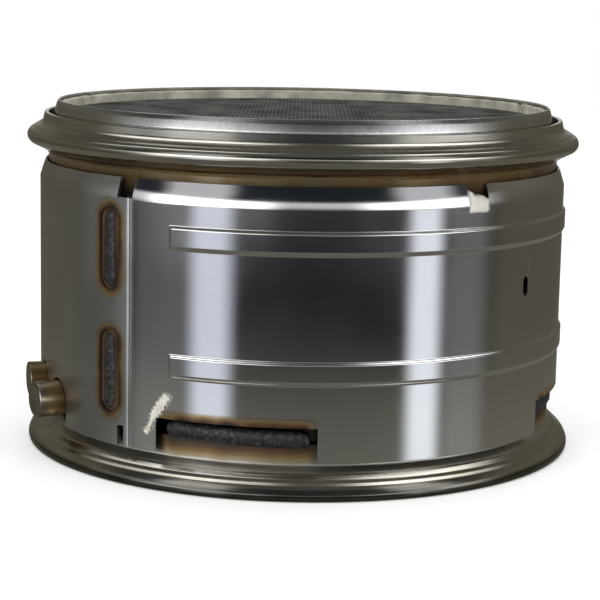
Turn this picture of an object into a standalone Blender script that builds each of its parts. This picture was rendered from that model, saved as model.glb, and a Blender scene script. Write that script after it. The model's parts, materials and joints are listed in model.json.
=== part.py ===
"""Diesel particulate filter: a round exhaust filter section with a flange at each end.

The filter stands on its lower flange, +Z up, with the origin on its axis at the base.
Azimuth 0 faces -Y, the front, and grows towards +X. Lengths are metres, angles degrees.
"""

import math

import bmesh
import bpy
from mathutils import Matrix, Vector

MM = 0.001

# Ceramic block and the mat that grips it
BLOCK_RADIUS = 152.4 * MM
BLOCK_LENGTH = 203.2 * MM
BLOCK_BASE = 7.1 * MM
FIT_GAP = 0.3 * MM
MAT_WALL = 4.5 * MM
MAT_PROUD_TOP = 6.0 * MM
MAT_PROUD_BOTTOM = 3.2 * MM
MAT_JOINT_AZIMUTH = 110.0
MAT_JOINT_WIDTH = 9.0 * MM
MAT_JOINT_DEPTH = 5.4 * MM

# Channels in the block's faces, drawn much coarser than the real ones
CHANNEL_PITCH = 14.0 * MM
CHANNEL_WALL = 3.6 * MM
CHANNEL_DEPTH = 3.4 * MM
BLOCK_SKIN = 3.0 * MM

# Inner can
CAN_WALL = 2.0 * MM
CAN_RADIUS = BLOCK_RADIUS + MAT_WALL + 2 * FIT_GAP + CAN_WALL
CAN_BASE = 2.6 * MM
CAN_RIM = 7.8 * MM
CAN_TOP = BLOCK_BASE + BLOCK_LENGTH + CAN_RIM
LIP_HEIGHT = 7.5 * MM
LIP_DRAW_IN = 2.3 * MM
CAN_SEAM_AZIMUTH = 155.0
CAN_SEAM_WIDTH = 4.6 * MM
CAN_SEAM_HEIGHT = 0.8 * MM

# Both flanges
SKIRT_GAP = 0.9 * MM
SKIRT_WALL = 3.0 * MM
SKIRT_BORE = CAN_RADIUS + SKIRT_GAP
SKIRT_RADIUS = SKIRT_BORE + SKIRT_WALL
FLANGE_REACH = 13.4 * MM
FLANGE_RADIUS = SKIRT_RADIUS + FLANGE_REACH
FLANGE_SHOULDER = 1.8 * MM
NOSE_HALF = 4.0 * MM

# Lower flange
LOWER_SEAT_CHAMFER = 2.2 * MM
LOWER_NOSE_ROUND = 2.1 * MM
LOWER_NOSE_HEIGHT = 3.0 * MM
LOWER_SLOPE_HEIGHT = 10.8 * MM
LOWER_SLOPE_FOOT = 2.0 * MM
LOWER_SKIRT_TOP = 31.2 * MM

# Upper flange and its collar
UPPER_NOSE_DROP = 21.9 * MM
UPPER_NOSE_HEIGHT = CAN_TOP - UPPER_NOSE_DROP
UPPER_SLOPE_HEIGHT = 5.8 * MM
UPPER_SLOPE_FOOT = 3.2 * MM
UPPER_SKIRT_LENGTH = 24.7 * MM
UPPER_SKIRT_BASE = UPPER_NOSE_HEIGHT - UPPER_SKIRT_LENGTH
COLLAR_STEP = 3.5 * MM
COLLAR_RADIUS = SKIRT_RADIUS + COLLAR_STEP
COLLAR_DRAW_IN = 0.9 * MM
COLLAR_WALL = 2.6 * MM
COLLAR_FOOT = 9.4 * MM
COLLAR_FILLET = 1.5 * MM
COLLAR_HEIGHT = 14.4 * MM

# Jacket sheet
JACKET_SHEET = 0.8 * MM
INSULATION_SPACE = 8.4 * MM
JACKET_RADIUS = CAN_RADIUS + INSULATION_SPACE + JACKET_SHEET
JACKET_BASE = 21.3 * MM
JACKET_TOP_DROP = 15.6 * MM
JACKET_TOP = UPPER_NOSE_HEIGHT - JACKET_TOP_DROP
JACKET_TOP_DRAW_IN = 3.4 * MM
JACKET_CREASE_DROP = 4.7 * MM
JACKET_CREASE_DRAW_IN = 1.8 * MM
JACKET_TAPER = 10.4 * MM
SEAM_EDGE_AZIMUTH = -36.1
SEAM_LAP = 36.5 * MM
SEAM_JOGGLE = 19.2 * MM
LAP_GAP = 0.5 * MM
LAP_LEAD = 0.5
RIB_RISE = 1.5 * MM
RIB_DROPS = (24.9 * MM, 100.0 * MM)
RIB_WIDTH = 14.5 * MM
RIB_UPPER_BEVEL = 1.7 * MM
RIB_LOWER_BEVEL = 2.6 * MM
RIB_START_AZIMUTH = -26.6
RIB_END_AZIMUTH = 240.0
RIB_END_BEVEL = 1.8 * MM

# Openings in the jacket
WINDOW_COUNT = 4
WINDOW_AZIMUTH = -12.75
WINDOW_WIDTH = 97.0 * MM
WINDOW_HEIGHT = 20.6 * MM
SEAM_NOTCH_AZIMUTH = -37.35
SEAM_NOTCH_WIDTH = 10.8 * MM
SEAM_NOTCH_DEPTH = 11.3 * MM
FOOT_NOTCH_AZIMUTH = -38.15
FOOT_NOTCH_WIDTH = 4.9 * MM
FOOT_NOTCH_HEIGHT = 12.2 * MM
TUFT_NOTCH_AZIMUTH = 37.8
TUFT_NOTCH_WIDTH = 15.9 * MM
TUFT_NOTCH_DEPTH = 16.6 * MM
DRAIN_SLOT_AZIMUTH = 53.5
DRAIN_SLOT_DROP = 64.2 * MM
DRAIN_SLOT_LENGTH = 11.8 * MM
DRAIN_SLOT_WIDTH = 5.3 * MM

# Slots and plug welds of the seam
PLUG_AZIMUTH = -41.3
PLUG_PLACES = {"upper": 0.735, "lower": 0.279}
PLUG_SHARE = 0.311
PLUG_LENGTH = PLUG_SHARE * (JACKET_TOP - JACKET_BASE)
PLUG_WIDTH = 15.2 * MM
PLUG_MARGIN = 2.8 * MM
PLUG_BEAD_RISE = 1.1 * MM

# Welds of the flanges to the can
STITCH_LENGTH = 86.0 * MM
STITCH_OVERLAP = 0.9 * MM
STITCH_HEIGHT = 7.4 * MM
STITCH_RISE = 2.0 * MM
UPPER_WELD_HEIGHT = 3.4 * MM

# Insulation blanket and what shows of it
BLANKET_BASE = 58.0 * MM
BLANKET_TOP_CLEARANCE = 1.2 * MM
BLANKET_SPLIT_WIDTH = 9.0 * MM
TUFT_THICKNESS = 3.7 * MM
TUFT_DROP = 6.6 * MM
TAIL_RADIUS = 1.2 * MM
TAIL_REACH = 12.2 * MM
TAIL_RUN = 10.0 * MM

# Locating pin and boss, welded to the can
PIN_AZIMUTH = -62.0
PIN_HEIGHT = 37.4 * MM
PIN_RADIUS = 11.1 * MM
PIN_LENGTH = 24.2 * MM
PIN_CHAMFER = 0.9 * MM
BOSS_AZIMUTH = -72.8
BOSS_HEIGHT = 43.6 * MM
BOSS_RADIUS = 10.5 * MM
BOSS_LENGTH = 19.0 * MM
BOSS_CHAMFER = 0.5 * MM
LUG_SEAT_GAP = 0.5 * MM
LUG_NOTCH_CLEARANCE = 1.4 * MM
LUG_WELD_LEG = 2.6 * MM
LUG_WELD_HEIGHT = 3.0 * MM
LUGS = {
    "locating_pin": (PIN_AZIMUTH, PIN_HEIGHT, PIN_RADIUS, PIN_LENGTH, PIN_CHAMFER),
    "locating_boss": (BOSS_AZIMUTH, BOSS_HEIGHT, BOSS_RADIUS, BOSS_LENGTH, BOSS_CHAMFER),
}

TURN_STEPS = 72
COLUMN_STEP = 360 / TURN_STEPS

COLOURS = {
    "ceramic": ((0.075, 0.078, 0.075), 0.9, 0.0),
    "fibre": ((0.62, 0.6, 0.52), 0.95, 0.0),
    "steel": ((0.42, 0.41, 0.38), 0.34, 1.0),
    "bright_steel": ((0.56, 0.57, 0.59), 0.22, 1.0),
    "weld": ((0.16, 0.165, 0.18), 0.5, 1.0),
    "pin_steel": ((0.4, 0.36, 0.3), 0.3, 1.0),
}


def clear_scene():
    for obj in list(bpy.data.objects):
        bpy.data.objects.remove(obj, do_unlink=True)


def make_collections():
    parts = bpy.data.collections.new("particulate_filter")
    cutters = bpy.data.collections.new("cutters")
    cutters.hide_render = True
    for collection in (parts, cutters):
        bpy.context.scene.collection.children.link(collection)
    return parts, cutters


def make_material(name):
    colour, roughness, metallic = COLOURS[name]
    material = bpy.data.materials.new(name)
    material.use_nodes = True
    shader = material.node_tree.nodes["Principled BSDF"]
    shader.inputs["Base Color"].default_value = (*colour, 1.0)
    shader.inputs["Roughness"].default_value = roughness
    shader.inputs["Metallic"].default_value = metallic
    return material


def radial(azimuth):
    """Unit vector that points outwards at this azimuth."""
    angle = math.radians(azimuth)
    return Vector((math.sin(angle), -math.cos(angle), 0.0))


def around(azimuth, radius, height):
    return radial(azimuth) * radius + Vector((0.0, 0.0, height))


def degrees_of(width, radius):
    """The azimuth that an arc of this width covers at this radius."""
    return math.degrees(width / radius)


def outward_frame(azimuth):
    """Local X runs round the part, local Y up, and local Z outwards."""
    out = radial(azimuth)
    up = Vector((0.0, 0.0, 1.0))
    side = up.cross(out)
    return Matrix((side, up, out)).transposed().to_4x4()


def add_object(name, mesh, collection, material=None):
    obj = bpy.data.objects.new(name, mesh)
    collection.objects.link(obj)
    if material:
        mesh.materials.append(bpy.data.materials[material])
    return obj


def mesh_from(name, build):
    """A mesh that build(bm) fills, with its normals facing out."""
    bm = bmesh.new()
    build(bm)
    bmesh.ops.recalc_face_normals(bm, faces=bm.faces)
    mesh = bpy.data.meshes.new(name)
    bm.to_mesh(mesh)
    bm.free()
    return mesh


def smooth(obj, angle=30):
    obj.data.shade_smooth()
    obj.data.set_sharp_from_angle(angle=math.radians(angle))


def apply_modifiers(obj):
    """Bakes the modifiers into the mesh, so that later Booleans see the finished form."""
    graph = bpy.context.evaluated_depsgraph_get()
    mesh = bpy.data.meshes.new_from_object(obj.evaluated_get(graph))
    obj.modifiers.clear()
    obj.data = mesh


def turned(name, profile, material, closed=True, steps=TURN_STEPS):
    """A turned solid. The profile lists (radius, height), outer side first, top to bottom."""
    mesh = bpy.data.meshes.new(name)
    points = [(radius, 0.0, height) for radius, height in profile]
    edges = [(i, i + 1) for i in range(len(points) - 1)]
    if closed:
        edges.append((len(points) - 1, 0))
    mesh.from_pydata(points, edges, [])
    obj = add_object(name, mesh, PARTS, material)
    screw = obj.modifiers.new("turn", "SCREW")
    screw.steps = steps
    screw.render_steps = steps
    screw.use_merge_vertices = True
    screw.merge_threshold = 0.0001 * MM
    apply_modifiers(obj)
    smooth(obj)
    return obj


def slab(name, outline, depth, collection, material=None):
    """An outline in the XY plane, raised along Z by depth."""

    def build(bm):
        face = bm.faces.new([bm.verts.new((x, y, 0.0)) for x, y in outline])
        raised = bmesh.ops.extrude_face_region(bm, geom=[face])["geom"]
        verts = [item for item in raised if isinstance(item, bmesh.types.BMVert)]
        bmesh.ops.translate(bm, verts=verts, vec=(0.0, 0.0, depth))

    return add_object(name, mesh_from(name, build), collection, material)


def rectangle(width, low, high):
    half = width / 2
    return [(-half, low), (half, low), (half, high), (-half, high)]


def stadium(width, length, steps=8):
    """An upright slot outline with round ends, about the origin."""
    radius = width / 2
    straight = length / 2 - radius
    points = []
    for end, start in ((1, 0), (-1, 180)):
        for step in range(steps + 1):
            angle = math.radians(start + 180 * step / steps)
            points.append((radius * math.cos(angle), end * straight + radius * math.sin(angle)))
    return points


def arch(width, low, high, steps=10):
    """A slot outline that is open below and has a round top."""
    radius = width / 2
    points = [(-radius, low), (radius, low)]
    for step in range(steps + 1):
        angle = math.pi * step / steps
        points.append((radius * math.cos(angle), high - radius + radius * math.sin(angle)))
    return points


def cut(target, outline, azimuth, inner=None, outer=None, height=0.0):
    """Cuts an outline through a wall, looking inwards at this azimuth."""
    inner = CAN_RADIUS - CAN_WALL / 2 if inner is None else inner
    outer = FLANGE_RADIUS + FLANGE_SHOULDER if outer is None else outer
    cutter = slab("cutter", outline, outer - inner, CUTTERS)
    cutter.matrix_world = Matrix.Translation(around(azimuth, inner, height)) @ outward_frame(azimuth)
    cutter.hide_render = True
    cutter.display_type = "WIRE"
    boolean = target.modifiers.new("cut", "BOOLEAN")
    boolean.operation = "DIFFERENCE"
    boolean.solver = "EXACT"
    boolean.object = cutter


def loft(name, rings, material):
    """A closed solid through rings of points of equal count, with flat ends."""

    def build(bm):
        loops = [[bm.verts.new(point) for point in ring] for ring in rings]
        count = len(loops[0])
        for near, far in zip(loops, loops[1:]):
            for i in range(count):
                j = (i + 1) % count
                bm.faces.new((near[i], near[j], far[j], far[i]))
        bm.faces.new(loops[0])
        bm.faces.new(reversed(loops[-1]))

    obj = add_object(name, mesh_from(name, build), PARTS, material)
    smooth(obj, 50)
    return obj


def arc(centre, radius, start, end, steps):
    """Points (radius, height) along an arc, for a turned profile."""
    points = []
    for step in range(steps + 1):
        angle = math.radians(start + (end - start) * step / steps)
        points.append((centre[0] + radius * math.cos(angle), centre[1] + radius * math.sin(angle)))
    return points


def open_channels(block, face_height, first):
    """Cuts every other channel into the block's face at this height, from the first one on."""
    half = (CHANNEL_PITCH - CHANNEL_WALL) / 2
    reach = BLOCK_RADIUS - BLOCK_SKIN
    rows = math.ceil(reach / CHANNEL_PITCH)
    size = Matrix.Diagonal((2 * half, 2 * half, 2 * CHANNEL_DEPTH, 1.0))

    def build(bm):
        for row in range(-rows, rows):
            for column in range(-rows, rows):
                x, y = (row + 0.5) * CHANNEL_PITCH, (column + 0.5) * CHANNEL_PITCH
                inside = math.hypot(abs(x) + half, abs(y) + half) < reach
                if inside and (row + column) % 2 == first:
                    place = Matrix.Translation((x, y, face_height))
                    bmesh.ops.create_cube(bm, size=1.0, matrix=place @ size)

    cutter = add_object("channels", mesh_from("channels", build), CUTTERS)
    cutter.hide_render = True
    boolean = block.modifiers.new("channels", "BOOLEAN")
    boolean.operation = "DIFFERENCE"
    boolean.solver = "EXACT"
    boolean.object = cutter


def make_filter_block():
    """Ceramic wall-flow block. A channel that is open at one face is plugged at the other."""
    top = BLOCK_BASE + BLOCK_LENGTH
    profile = [(0.0, top), (BLOCK_RADIUS, top), (BLOCK_RADIUS, BLOCK_BASE), (0.0, BLOCK_BASE)]
    block = turned("filter_block", profile, "ceramic", closed=False)
    open_channels(block, top, first=0)
    open_channels(block, BLOCK_BASE, first=1)
    return block


def make_support_mat():
    """Fibre mat wrapped round the block, standing a little proud of both its faces."""
    inner = BLOCK_RADIUS + FIT_GAP
    outer = CAN_RADIUS - CAN_WALL - FIT_GAP
    low = BLOCK_BASE - MAT_PROUD_BOTTOM
    high = BLOCK_BASE + BLOCK_LENGTH + MAT_PROUD_TOP
    round_over = (outer - inner) / 4
    profile = [
        (inner + round_over, high),
        (outer - round_over, high),
        (outer, high - round_over),
        (outer, low),
        (inner, low),
        (inner, high - round_over),
    ]
    mat = turned("support_mat", profile, "fibre")
    half = MAT_JOINT_WIDTH / 2
    notch = [(-half, high + MM), (0.0, high - MAT_JOINT_DEPTH), (half, high + MM)]
    cut(mat, notch, MAT_JOINT_AZIMUTH, inner=inner - MM, outer=outer + MM)
    return mat


def make_inner_can():
    """Rolled steel can, drawn in at its upper lip."""
    lip = CAN_TOP - LIP_HEIGHT
    profile = [
        (CAN_RADIUS - LIP_DRAW_IN, CAN_TOP),
        (CAN_RADIUS - LIP_DRAW_IN / 2, CAN_TOP - LIP_HEIGHT / 3),
        (CAN_RADIUS, lip),
        (CAN_RADIUS, CAN_BASE),
        (CAN_RADIUS - CAN_WALL, CAN_BASE),
        (CAN_RADIUS - CAN_WALL, lip),
        (CAN_RADIUS - CAN_WALL - FIT_GAP / 3, CAN_TOP - LIP_HEIGHT / 3),
        (CAN_RADIUS - LIP_DRAW_IN - CAN_WALL / 2, CAN_TOP),
    ]
    return turned("inner_can", profile, "bright_steel")


def make_can_seam_weld():
    """Flat weld bead down the can, in the split of the insulation."""
    inner = CAN_RADIUS + FIT_GAP
    low = LOWER_SKIRT_TOP + STITCH_HEIGHT + MM
    high = UPPER_SKIRT_BASE - UPPER_WELD_HEIGHT - MM
    bead = slab(
        "can_seam_weld", rectangle(CAN_SEAM_WIDTH, low, high), CAN_SEAM_HEIGHT, PARTS, "weld"
    )
    bead.matrix_world = Matrix.Translation(around(CAN_SEAM_AZIMUTH, inner, 0.0)) @ outward_frame(
        CAN_SEAM_AZIMUTH
    )
    return bead


def clamp_slope(nose_height, rise, foot, side):
    """The clamp slope from the nose to the skirt. side is 1 above the nose, -1 below."""
    end = nose_height + side * (NOSE_HALF + rise)
    return [
        (FLANGE_RADIUS, nose_height + side * NOSE_HALF * 0.3),
        (FLANGE_RADIUS - FLANGE_SHOULDER * 0.25, nose_height + side * NOSE_HALF * 0.6),
        (FLANGE_RADIUS - FLANGE_SHOULDER, nose_height + side * NOSE_HALF),
        (SKIRT_RADIUS + foot, end - side * foot / 2),
        (SKIRT_RADIUS + foot / 3, end),
        (SKIRT_RADIUS, end + side * foot / 2),
    ]


def make_lower_flange():
    """Turned clamp flange that the filter stands on, with its skirt up round the can."""
    nose = arc(
        (FLANGE_RADIUS - LOWER_NOSE_ROUND, LOWER_NOSE_ROUND), LOWER_NOSE_ROUND, 0, -90, 4
    )
    slope = clamp_slope(LOWER_NOSE_HEIGHT, LOWER_SLOPE_HEIGHT, LOWER_SLOPE_FOOT, 1)
    profile = [(SKIRT_RADIUS, LOWER_SKIRT_TOP)]
    profile += reversed(slope)
    profile += nose
    profile += [
        (SKIRT_BORE + LOWER_SEAT_CHAMFER, 0.0),
        (SKIRT_BORE, LOWER_SEAT_CHAMFER),
        (SKIRT_BORE, LOWER_SKIRT_TOP),
    ]
    flange = turned("lower_flange", profile, "steel")
    for azimuth, height, lug_radius, _, _ in LUGS.values():
        radius = lug_radius + LUG_WELD_LEG + 2 * FIT_GAP
        outline = [
            (radius * math.cos(math.tau * i / 24), radius * math.sin(math.tau * i / 24))
            for i in range(24)
        ]
        cut(flange, outline, azimuth, height=height)
    return flange


def make_upper_flange():
    """Turned clamp flange with a collar that stands clear of the can's lip."""
    rim = COLLAR_RADIUS - COLLAR_DRAW_IN
    bore = rim - COLLAR_WALL
    top = UPPER_NOSE_HEIGHT + COLLAR_HEIGHT
    foot = UPPER_NOSE_HEIGHT + COLLAR_FOOT
    profile = [
        (rim - COLLAR_FILLET / 3, top),
        (rim, top - COLLAR_FILLET / 3),
        (COLLAR_RADIUS, foot),
        (COLLAR_RADIUS + COLLAR_FILLET, foot - COLLAR_FILLET),
        (FLANGE_RADIUS - FLANGE_SHOULDER, UPPER_NOSE_HEIGHT + NOSE_HALF),
        (FLANGE_RADIUS - FLANGE_SHOULDER * 0.25, UPPER_NOSE_HEIGHT + NOSE_HALF * 0.6),
    ]
    profile += clamp_slope(UPPER_NOSE_HEIGHT, UPPER_SLOPE_HEIGHT, UPPER_SLOPE_FOOT, -1)
    profile += [
        (SKIRT_RADIUS, UPPER_SKIRT_BASE),
        (SKIRT_BORE, UPPER_SKIRT_BASE),
        (SKIRT_BORE, UPPER_NOSE_HEIGHT),
        (bore, UPPER_NOSE_HEIGHT + NOSE_HALF / 2),
        (bore, top),
    ]
    return turned("upper_flange", profile, "steel")


def make_upper_flange_weld():
    """Fillet weld all round, where the upper skirt ends on the can."""
    inner = CAN_RADIUS + FIT_GAP
    top = UPPER_SKIRT_BASE - FIT_GAP
    low = top - UPPER_WELD_HEIGHT
    profile = [
        (SKIRT_RADIUS - FIT_GAP, top),
        (SKIRT_RADIUS - SKIRT_WALL / 3, top - UPPER_WELD_HEIGHT / 2),
        (inner + FIT_GAP, low),
        (inner, low),
        (inner, top),
    ]
    return turned("upper_flange_weld", profile, "weld")


def stitch_section(share):
    """Section of a stitch weld, from the can over the skirt's edge, at this share of its size."""
    inner = CAN_RADIUS + FIT_GAP
    edge = LOWER_SKIRT_TOP + FIT_GAP
    face = SKIRT_RADIUS + FIT_GAP
    crown = face + STITCH_RISE * share
    low = edge - STITCH_OVERLAP * share
    height = STITCH_HEIGHT * share
    return [
        (inner, edge + height),
        (inner, edge),
        (face, edge),
        (face, low),
        ((face + crown) / 2, low),
        (crown, edge + height * 0.25),
        ((face + crown) / 2, edge + height * 0.65),
        ((inner + face) / 2, edge + height * 0.92),
    ]


def make_stitch_welds():
    """Heavy weld beads over the edge of the lower skirt, one in each window."""
    span = degrees_of(STITCH_LENGTH, SKIRT_RADIUS)
    steps = 2 * round(span / COLUMN_STEP)
    for index in range(WINDOW_COUNT):
        centre = WINDOW_AZIMUTH + 360 / WINDOW_COUNT * index
        rings = []
        for step in range(steps + 1):
            azimuth = centre + span * (step / steps - 0.5)
            section = stitch_section(0.55 if step in (0, steps) else 1.0)
            rings.append([around(azimuth, radius, height) for radius, height in section])
        loft(f"stitch_weld_{index + 1}", rings, "weld")


def make_insulation_blanket():
    """Fibre blanket round the can, split where the can's seam weld runs."""
    inner = CAN_RADIUS + FIT_GAP
    outer = JACKET_RADIUS - JACKET_SHEET - FIT_GAP
    top = UPPER_SKIRT_BASE - FIT_GAP - UPPER_WELD_HEIGHT - BLANKET_TOP_CLEARANCE
    profile = [(outer, top), (outer, BLANKET_BASE), (inner, BLANKET_BASE), (inner, top)]
    blanket = turned("insulation_blanket", profile, "fibre")
    cut(
        blanket,
        rectangle(BLANKET_SPLIT_WIDTH, JACKET_BASE, JACKET_TOP),
        CAN_SEAM_AZIMUTH,
    )
    return blanket


def jacket_levels():
    """(height, draw-in, share of the rib's rise) down the sheet, for every crease."""
    levels = [
        (JACKET_TOP, JACKET_TOP_DRAW_IN, 0),
        (JACKET_TOP - JACKET_CREASE_DROP, JACKET_CREASE_DRAW_IN, 0),
        (JACKET_TOP - JACKET_TAPER, 0.0, 0),
    ]
    for drop in RIB_DROPS:
        top = JACKET_TOP - drop
        levels += [
            (top, 0.0, 0),
            (top - RIB_UPPER_BEVEL, 0.0, 1),
            (top - RIB_WIDTH + RIB_LOWER_BEVEL, 0.0, 1),
            (top - RIB_WIDTH, 0.0, 0),
        ]
    levels.append((JACKET_BASE, 0.0, 0))
    return levels


def jacket_columns():
    """Azimuths of the sheet from its tucked-in edge round to its free edge."""
    lap = degrees_of(SEAM_LAP, JACKET_RADIUS)
    bevel = degrees_of(RIB_END_BEVEL, JACKET_RADIUS)
    first = SEAM_EDGE_AZIMUTH - lap
    last = SEAM_EDGE_AZIMUTH + 360
    columns = {first, last, last - lap - LAP_LEAD}
    columns.add(last - lap - LAP_LEAD - degrees_of(SEAM_JOGGLE, JACKET_RADIUS))
    for end, side in ((RIB_START_AZIMUTH, 1), (RIB_END_AZIMUTH, -1)):
        columns |= {end, end + side * bevel}
    azimuth = math.ceil(first / COLUMN_STEP) * COLUMN_STEP
    while azimuth < last:
        if min(abs(azimuth - other) for other in columns) > COLUMN_STEP / 5:
            columns.add(azimuth)
        azimuth += COLUMN_STEP
    return sorted(columns)


def lap_lift(azimuth):
    """How far the sheet steps out to pass over its own tucked-in edge."""
    end = SEAM_EDGE_AZIMUTH + 360 - degrees_of(SEAM_LAP, JACKET_RADIUS) - LAP_LEAD
    share = (azimuth - end) / degrees_of(SEAM_JOGGLE, JACKET_RADIUS) + 1
    return min(max(share, 0.0), 1.0) * (JACKET_SHEET + LAP_GAP)


def plug_height(place):
    """Height of the middle of the upper or the lower slot."""
    return JACKET_BASE + PLUG_PLACES[place] * (JACKET_TOP - JACKET_BASE)


def make_jacket():
    """Thin outer sheet wrapped round the insulation and lapped over itself at the seam."""
    levels = jacket_levels()
    bevel = degrees_of(RIB_END_BEVEL, JACKET_RADIUS)
    rib_from = RIB_START_AZIMUTH + bevel / 2
    rib_to = RIB_END_AZIMUTH - bevel / 2

    def build(bm):
        grid = []
        for azimuth in jacket_columns():
            lift = lap_lift(azimuth)
            on_rib = rib_from < azimuth < rib_to
            grid.append(
                [
                    bm.verts.new(
                        around(
                            azimuth,
                            JACKET_RADIUS + lift - draw_in + RIB_RISE * rise * on_rib,
                            height,
                        )
                    )
                    for height, draw_in, rise in levels
                ]
            )
        for near, far in zip(grid, grid[1:]):
            for i in range(len(levels) - 1):
                bm.faces.new((near[i], near[i + 1], far[i + 1], far[i]))

    mesh = mesh_from("jacket", build)
    jacket = add_object("jacket", mesh, PARTS, "bright_steel")
    wall = jacket.modifiers.new("sheet", "SOLIDIFY")
    wall.thickness = JACKET_SHEET
    wall.offset = -1
    wall.use_even_offset = True
    apply_modifiers(jacket)
    over_top = JACKET_TOP + JACKET_SHEET
    under = JACKET_BASE - JACKET_SHEET
    for index in range(WINDOW_COUNT):
        azimuth = WINDOW_AZIMUTH + 360 / WINDOW_COUNT * index
        window = rectangle(WINDOW_WIDTH, under, JACKET_BASE + WINDOW_HEIGHT)
        cut(jacket, window, azimuth, inner=BLOCK_RADIUS)
    seam_notch = rectangle(SEAM_NOTCH_WIDTH, JACKET_TOP - SEAM_NOTCH_DEPTH, over_top)
    cut(jacket, seam_notch, SEAM_NOTCH_AZIMUTH)
    foot_notch = rectangle(FOOT_NOTCH_WIDTH, under, JACKET_BASE + FOOT_NOTCH_HEIGHT)
    cut(jacket, foot_notch, FOOT_NOTCH_AZIMUTH)
    tuft_notch = rectangle(TUFT_NOTCH_WIDTH, JACKET_TOP - TUFT_NOTCH_DEPTH, over_top)
    cut(jacket, tuft_notch, TUFT_NOTCH_AZIMUTH)
    cut(
        jacket,
        stadium(DRAIN_SLOT_WIDTH, DRAIN_SLOT_LENGTH),
        DRAIN_SLOT_AZIMUTH,
        height=JACKET_TOP - DRAIN_SLOT_DROP,
    )
    for place in PLUG_PLACES:
        cut(
            jacket,
            stadium(PLUG_WIDTH, PLUG_LENGTH),
            PLUG_AZIMUTH,
            inner=JACKET_RADIUS + LAP_GAP / 2,
            height=plug_height(place),
        )
    for azimuth, height, lug_radius, _, _ in LUGS.values():
        radius = lug_radius + LUG_NOTCH_CLEARANCE
        cut(jacket, arch(2 * radius, under, height + radius), azimuth)
    smooth(jacket)
    return jacket


def make_plug_welds():
    """Long plug welds that fill the two slots in the lapped sheet."""
    seat = JACKET_RADIUS + LAP_GAP / 2 + FIT_GAP / 3
    rise = JACKET_SHEET + LAP_GAP + PLUG_BEAD_RISE
    for place in PLUG_PLACES:
        bead = slab(
            f"seam_weld_{place}",
            stadium(PLUG_WIDTH - 2 * PLUG_MARGIN, PLUG_LENGTH - 2 * PLUG_MARGIN),
            rise,
            PARTS,
            "weld",
        )
        bead.matrix_world = Matrix.Translation(
            around(PLUG_AZIMUTH, seat, plug_height(place))
        ) @ outward_frame(PLUG_AZIMUTH)
        edge = bead.modifiers.new("crown", "BEVEL")
        edge.width = rise * 0.45
        edge.segments = 2
        edge.limit_method = "ANGLE"
        smooth(bead, 50)


def make_lugs():
    """Locating pin and boss, turned from bar and welded to the can."""
    seat = CAN_RADIUS + LUG_SEAT_GAP
    for name, (azimuth, height, radius, length, chamfer) in LUGS.items():
        reach = seat + length
        lug = turned(
            name,
            [
                (0.0, reach),
                (radius - chamfer, reach),
                (radius, reach - chamfer),
                (radius, seat),
                (0.0, seat),
            ],
            "pin_steel",
            closed=False,
            steps=32,
        )
        weld = turned(
            f"{name}_weld",
            [
                (radius + LUG_WELD_LEG / 3, seat + LUG_WELD_HEIGHT),
                (radius + LUG_WELD_LEG, seat + LUG_WELD_HEIGHT / 3),
                (radius + LUG_WELD_LEG, seat),
                (radius + FIT_GAP, seat),
                (radius + FIT_GAP, seat + LUG_WELD_HEIGHT),
            ],
            "weld",
            steps=32,
        )
        for obj in (lug, weld):
            obj.matrix_world = Matrix.Translation((0.0, 0.0, height)) @ outward_frame(azimuth)


def make_insulation_tuft():
    """Fibre that bulges out of the notch in the jacket's upper edge."""
    inner = JACKET_RADIUS - JACKET_SHEET
    width = TUFT_NOTCH_WIDTH - 3 * FIT_GAP
    height = TUFT_NOTCH_DEPTH - FIT_GAP - TUFT_DROP
    bm = bmesh.new()
    bmesh.ops.create_cube(bm, size=1.0)
    bmesh.ops.scale(bm, vec=(width, height, TUFT_THICKNESS), verts=bm.verts)
    middle = JACKET_TOP - TUFT_DROP - height / 2
    place = Matrix.Translation(
        around(TUFT_NOTCH_AZIMUTH, inner + TUFT_THICKNESS / 2, middle)
    ) @ outward_frame(TUFT_NOTCH_AZIMUTH)
    bmesh.ops.transform(bm, matrix=place, verts=bm.verts)
    mesh = bpy.data.meshes.new("insulation_tuft")
    bm.to_mesh(mesh)
    bm.free()
    tuft = add_object("insulation_tuft", mesh, PARTS, "fibre")
    edge = tuft.modifiers.new("round", "BEVEL")
    edge.width = TUFT_THICKNESS * 0.45
    edge.segments = 3
    smooth(tuft, 60)


def make_insulation_tail():
    """Frayed end of the blanket's tape, which hangs out at the corner of the front window."""
    corner = WINDOW_AZIMUTH - degrees_of(WINDOW_WIDTH / 2, JACKET_RADIUS)
    top = JACKET_BASE + WINDOW_HEIGHT
    rest = JACKET_RADIUS + FIT_GAP + TAIL_RADIUS
    shares = ((1.0, 1.15), (0.55, 0.57), (0.05, 0.2), (-0.26, -0.14), (-0.4, -0.5), (-0.6, -0.7))
    route = [
        (corner + degrees_of(TAIL_RUN * run, rest), top + TAIL_REACH * rise) for run, rise in shares
    ]
    curve = bpy.data.curves.new("insulation_tail", "CURVE")
    curve.dimensions = "3D"
    curve.bevel_depth = TAIL_RADIUS
    curve.bevel_resolution = 2
    curve.use_fill_caps = True
    spline = curve.splines.new("POLY")
    spline.points.add(len(route) - 1)
    for point, (azimuth, height) in zip(spline.points, route):
        point.co = (*around(azimuth, rest, height), 1.0)
    guide = bpy.data.objects.new("tail_guide", curve)
    PARTS.objects.link(guide)
    graph = bpy.context.evaluated_depsgraph_get()
    mesh = bpy.data.meshes.new_from_object(guide.evaluated_get(graph))
    bm = bmesh.new()
    bm.from_mesh(mesh)
    bmesh.ops.remove_doubles(bm, verts=bm.verts, dist=0.001 * MM)
    bm.to_mesh(mesh)
    bm.free()
    bpy.data.objects.remove(guide, do_unlink=True)
    tail = add_object("insulation_tail", mesh, PARTS, "fibre")
    smooth(tail, 60)


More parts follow.
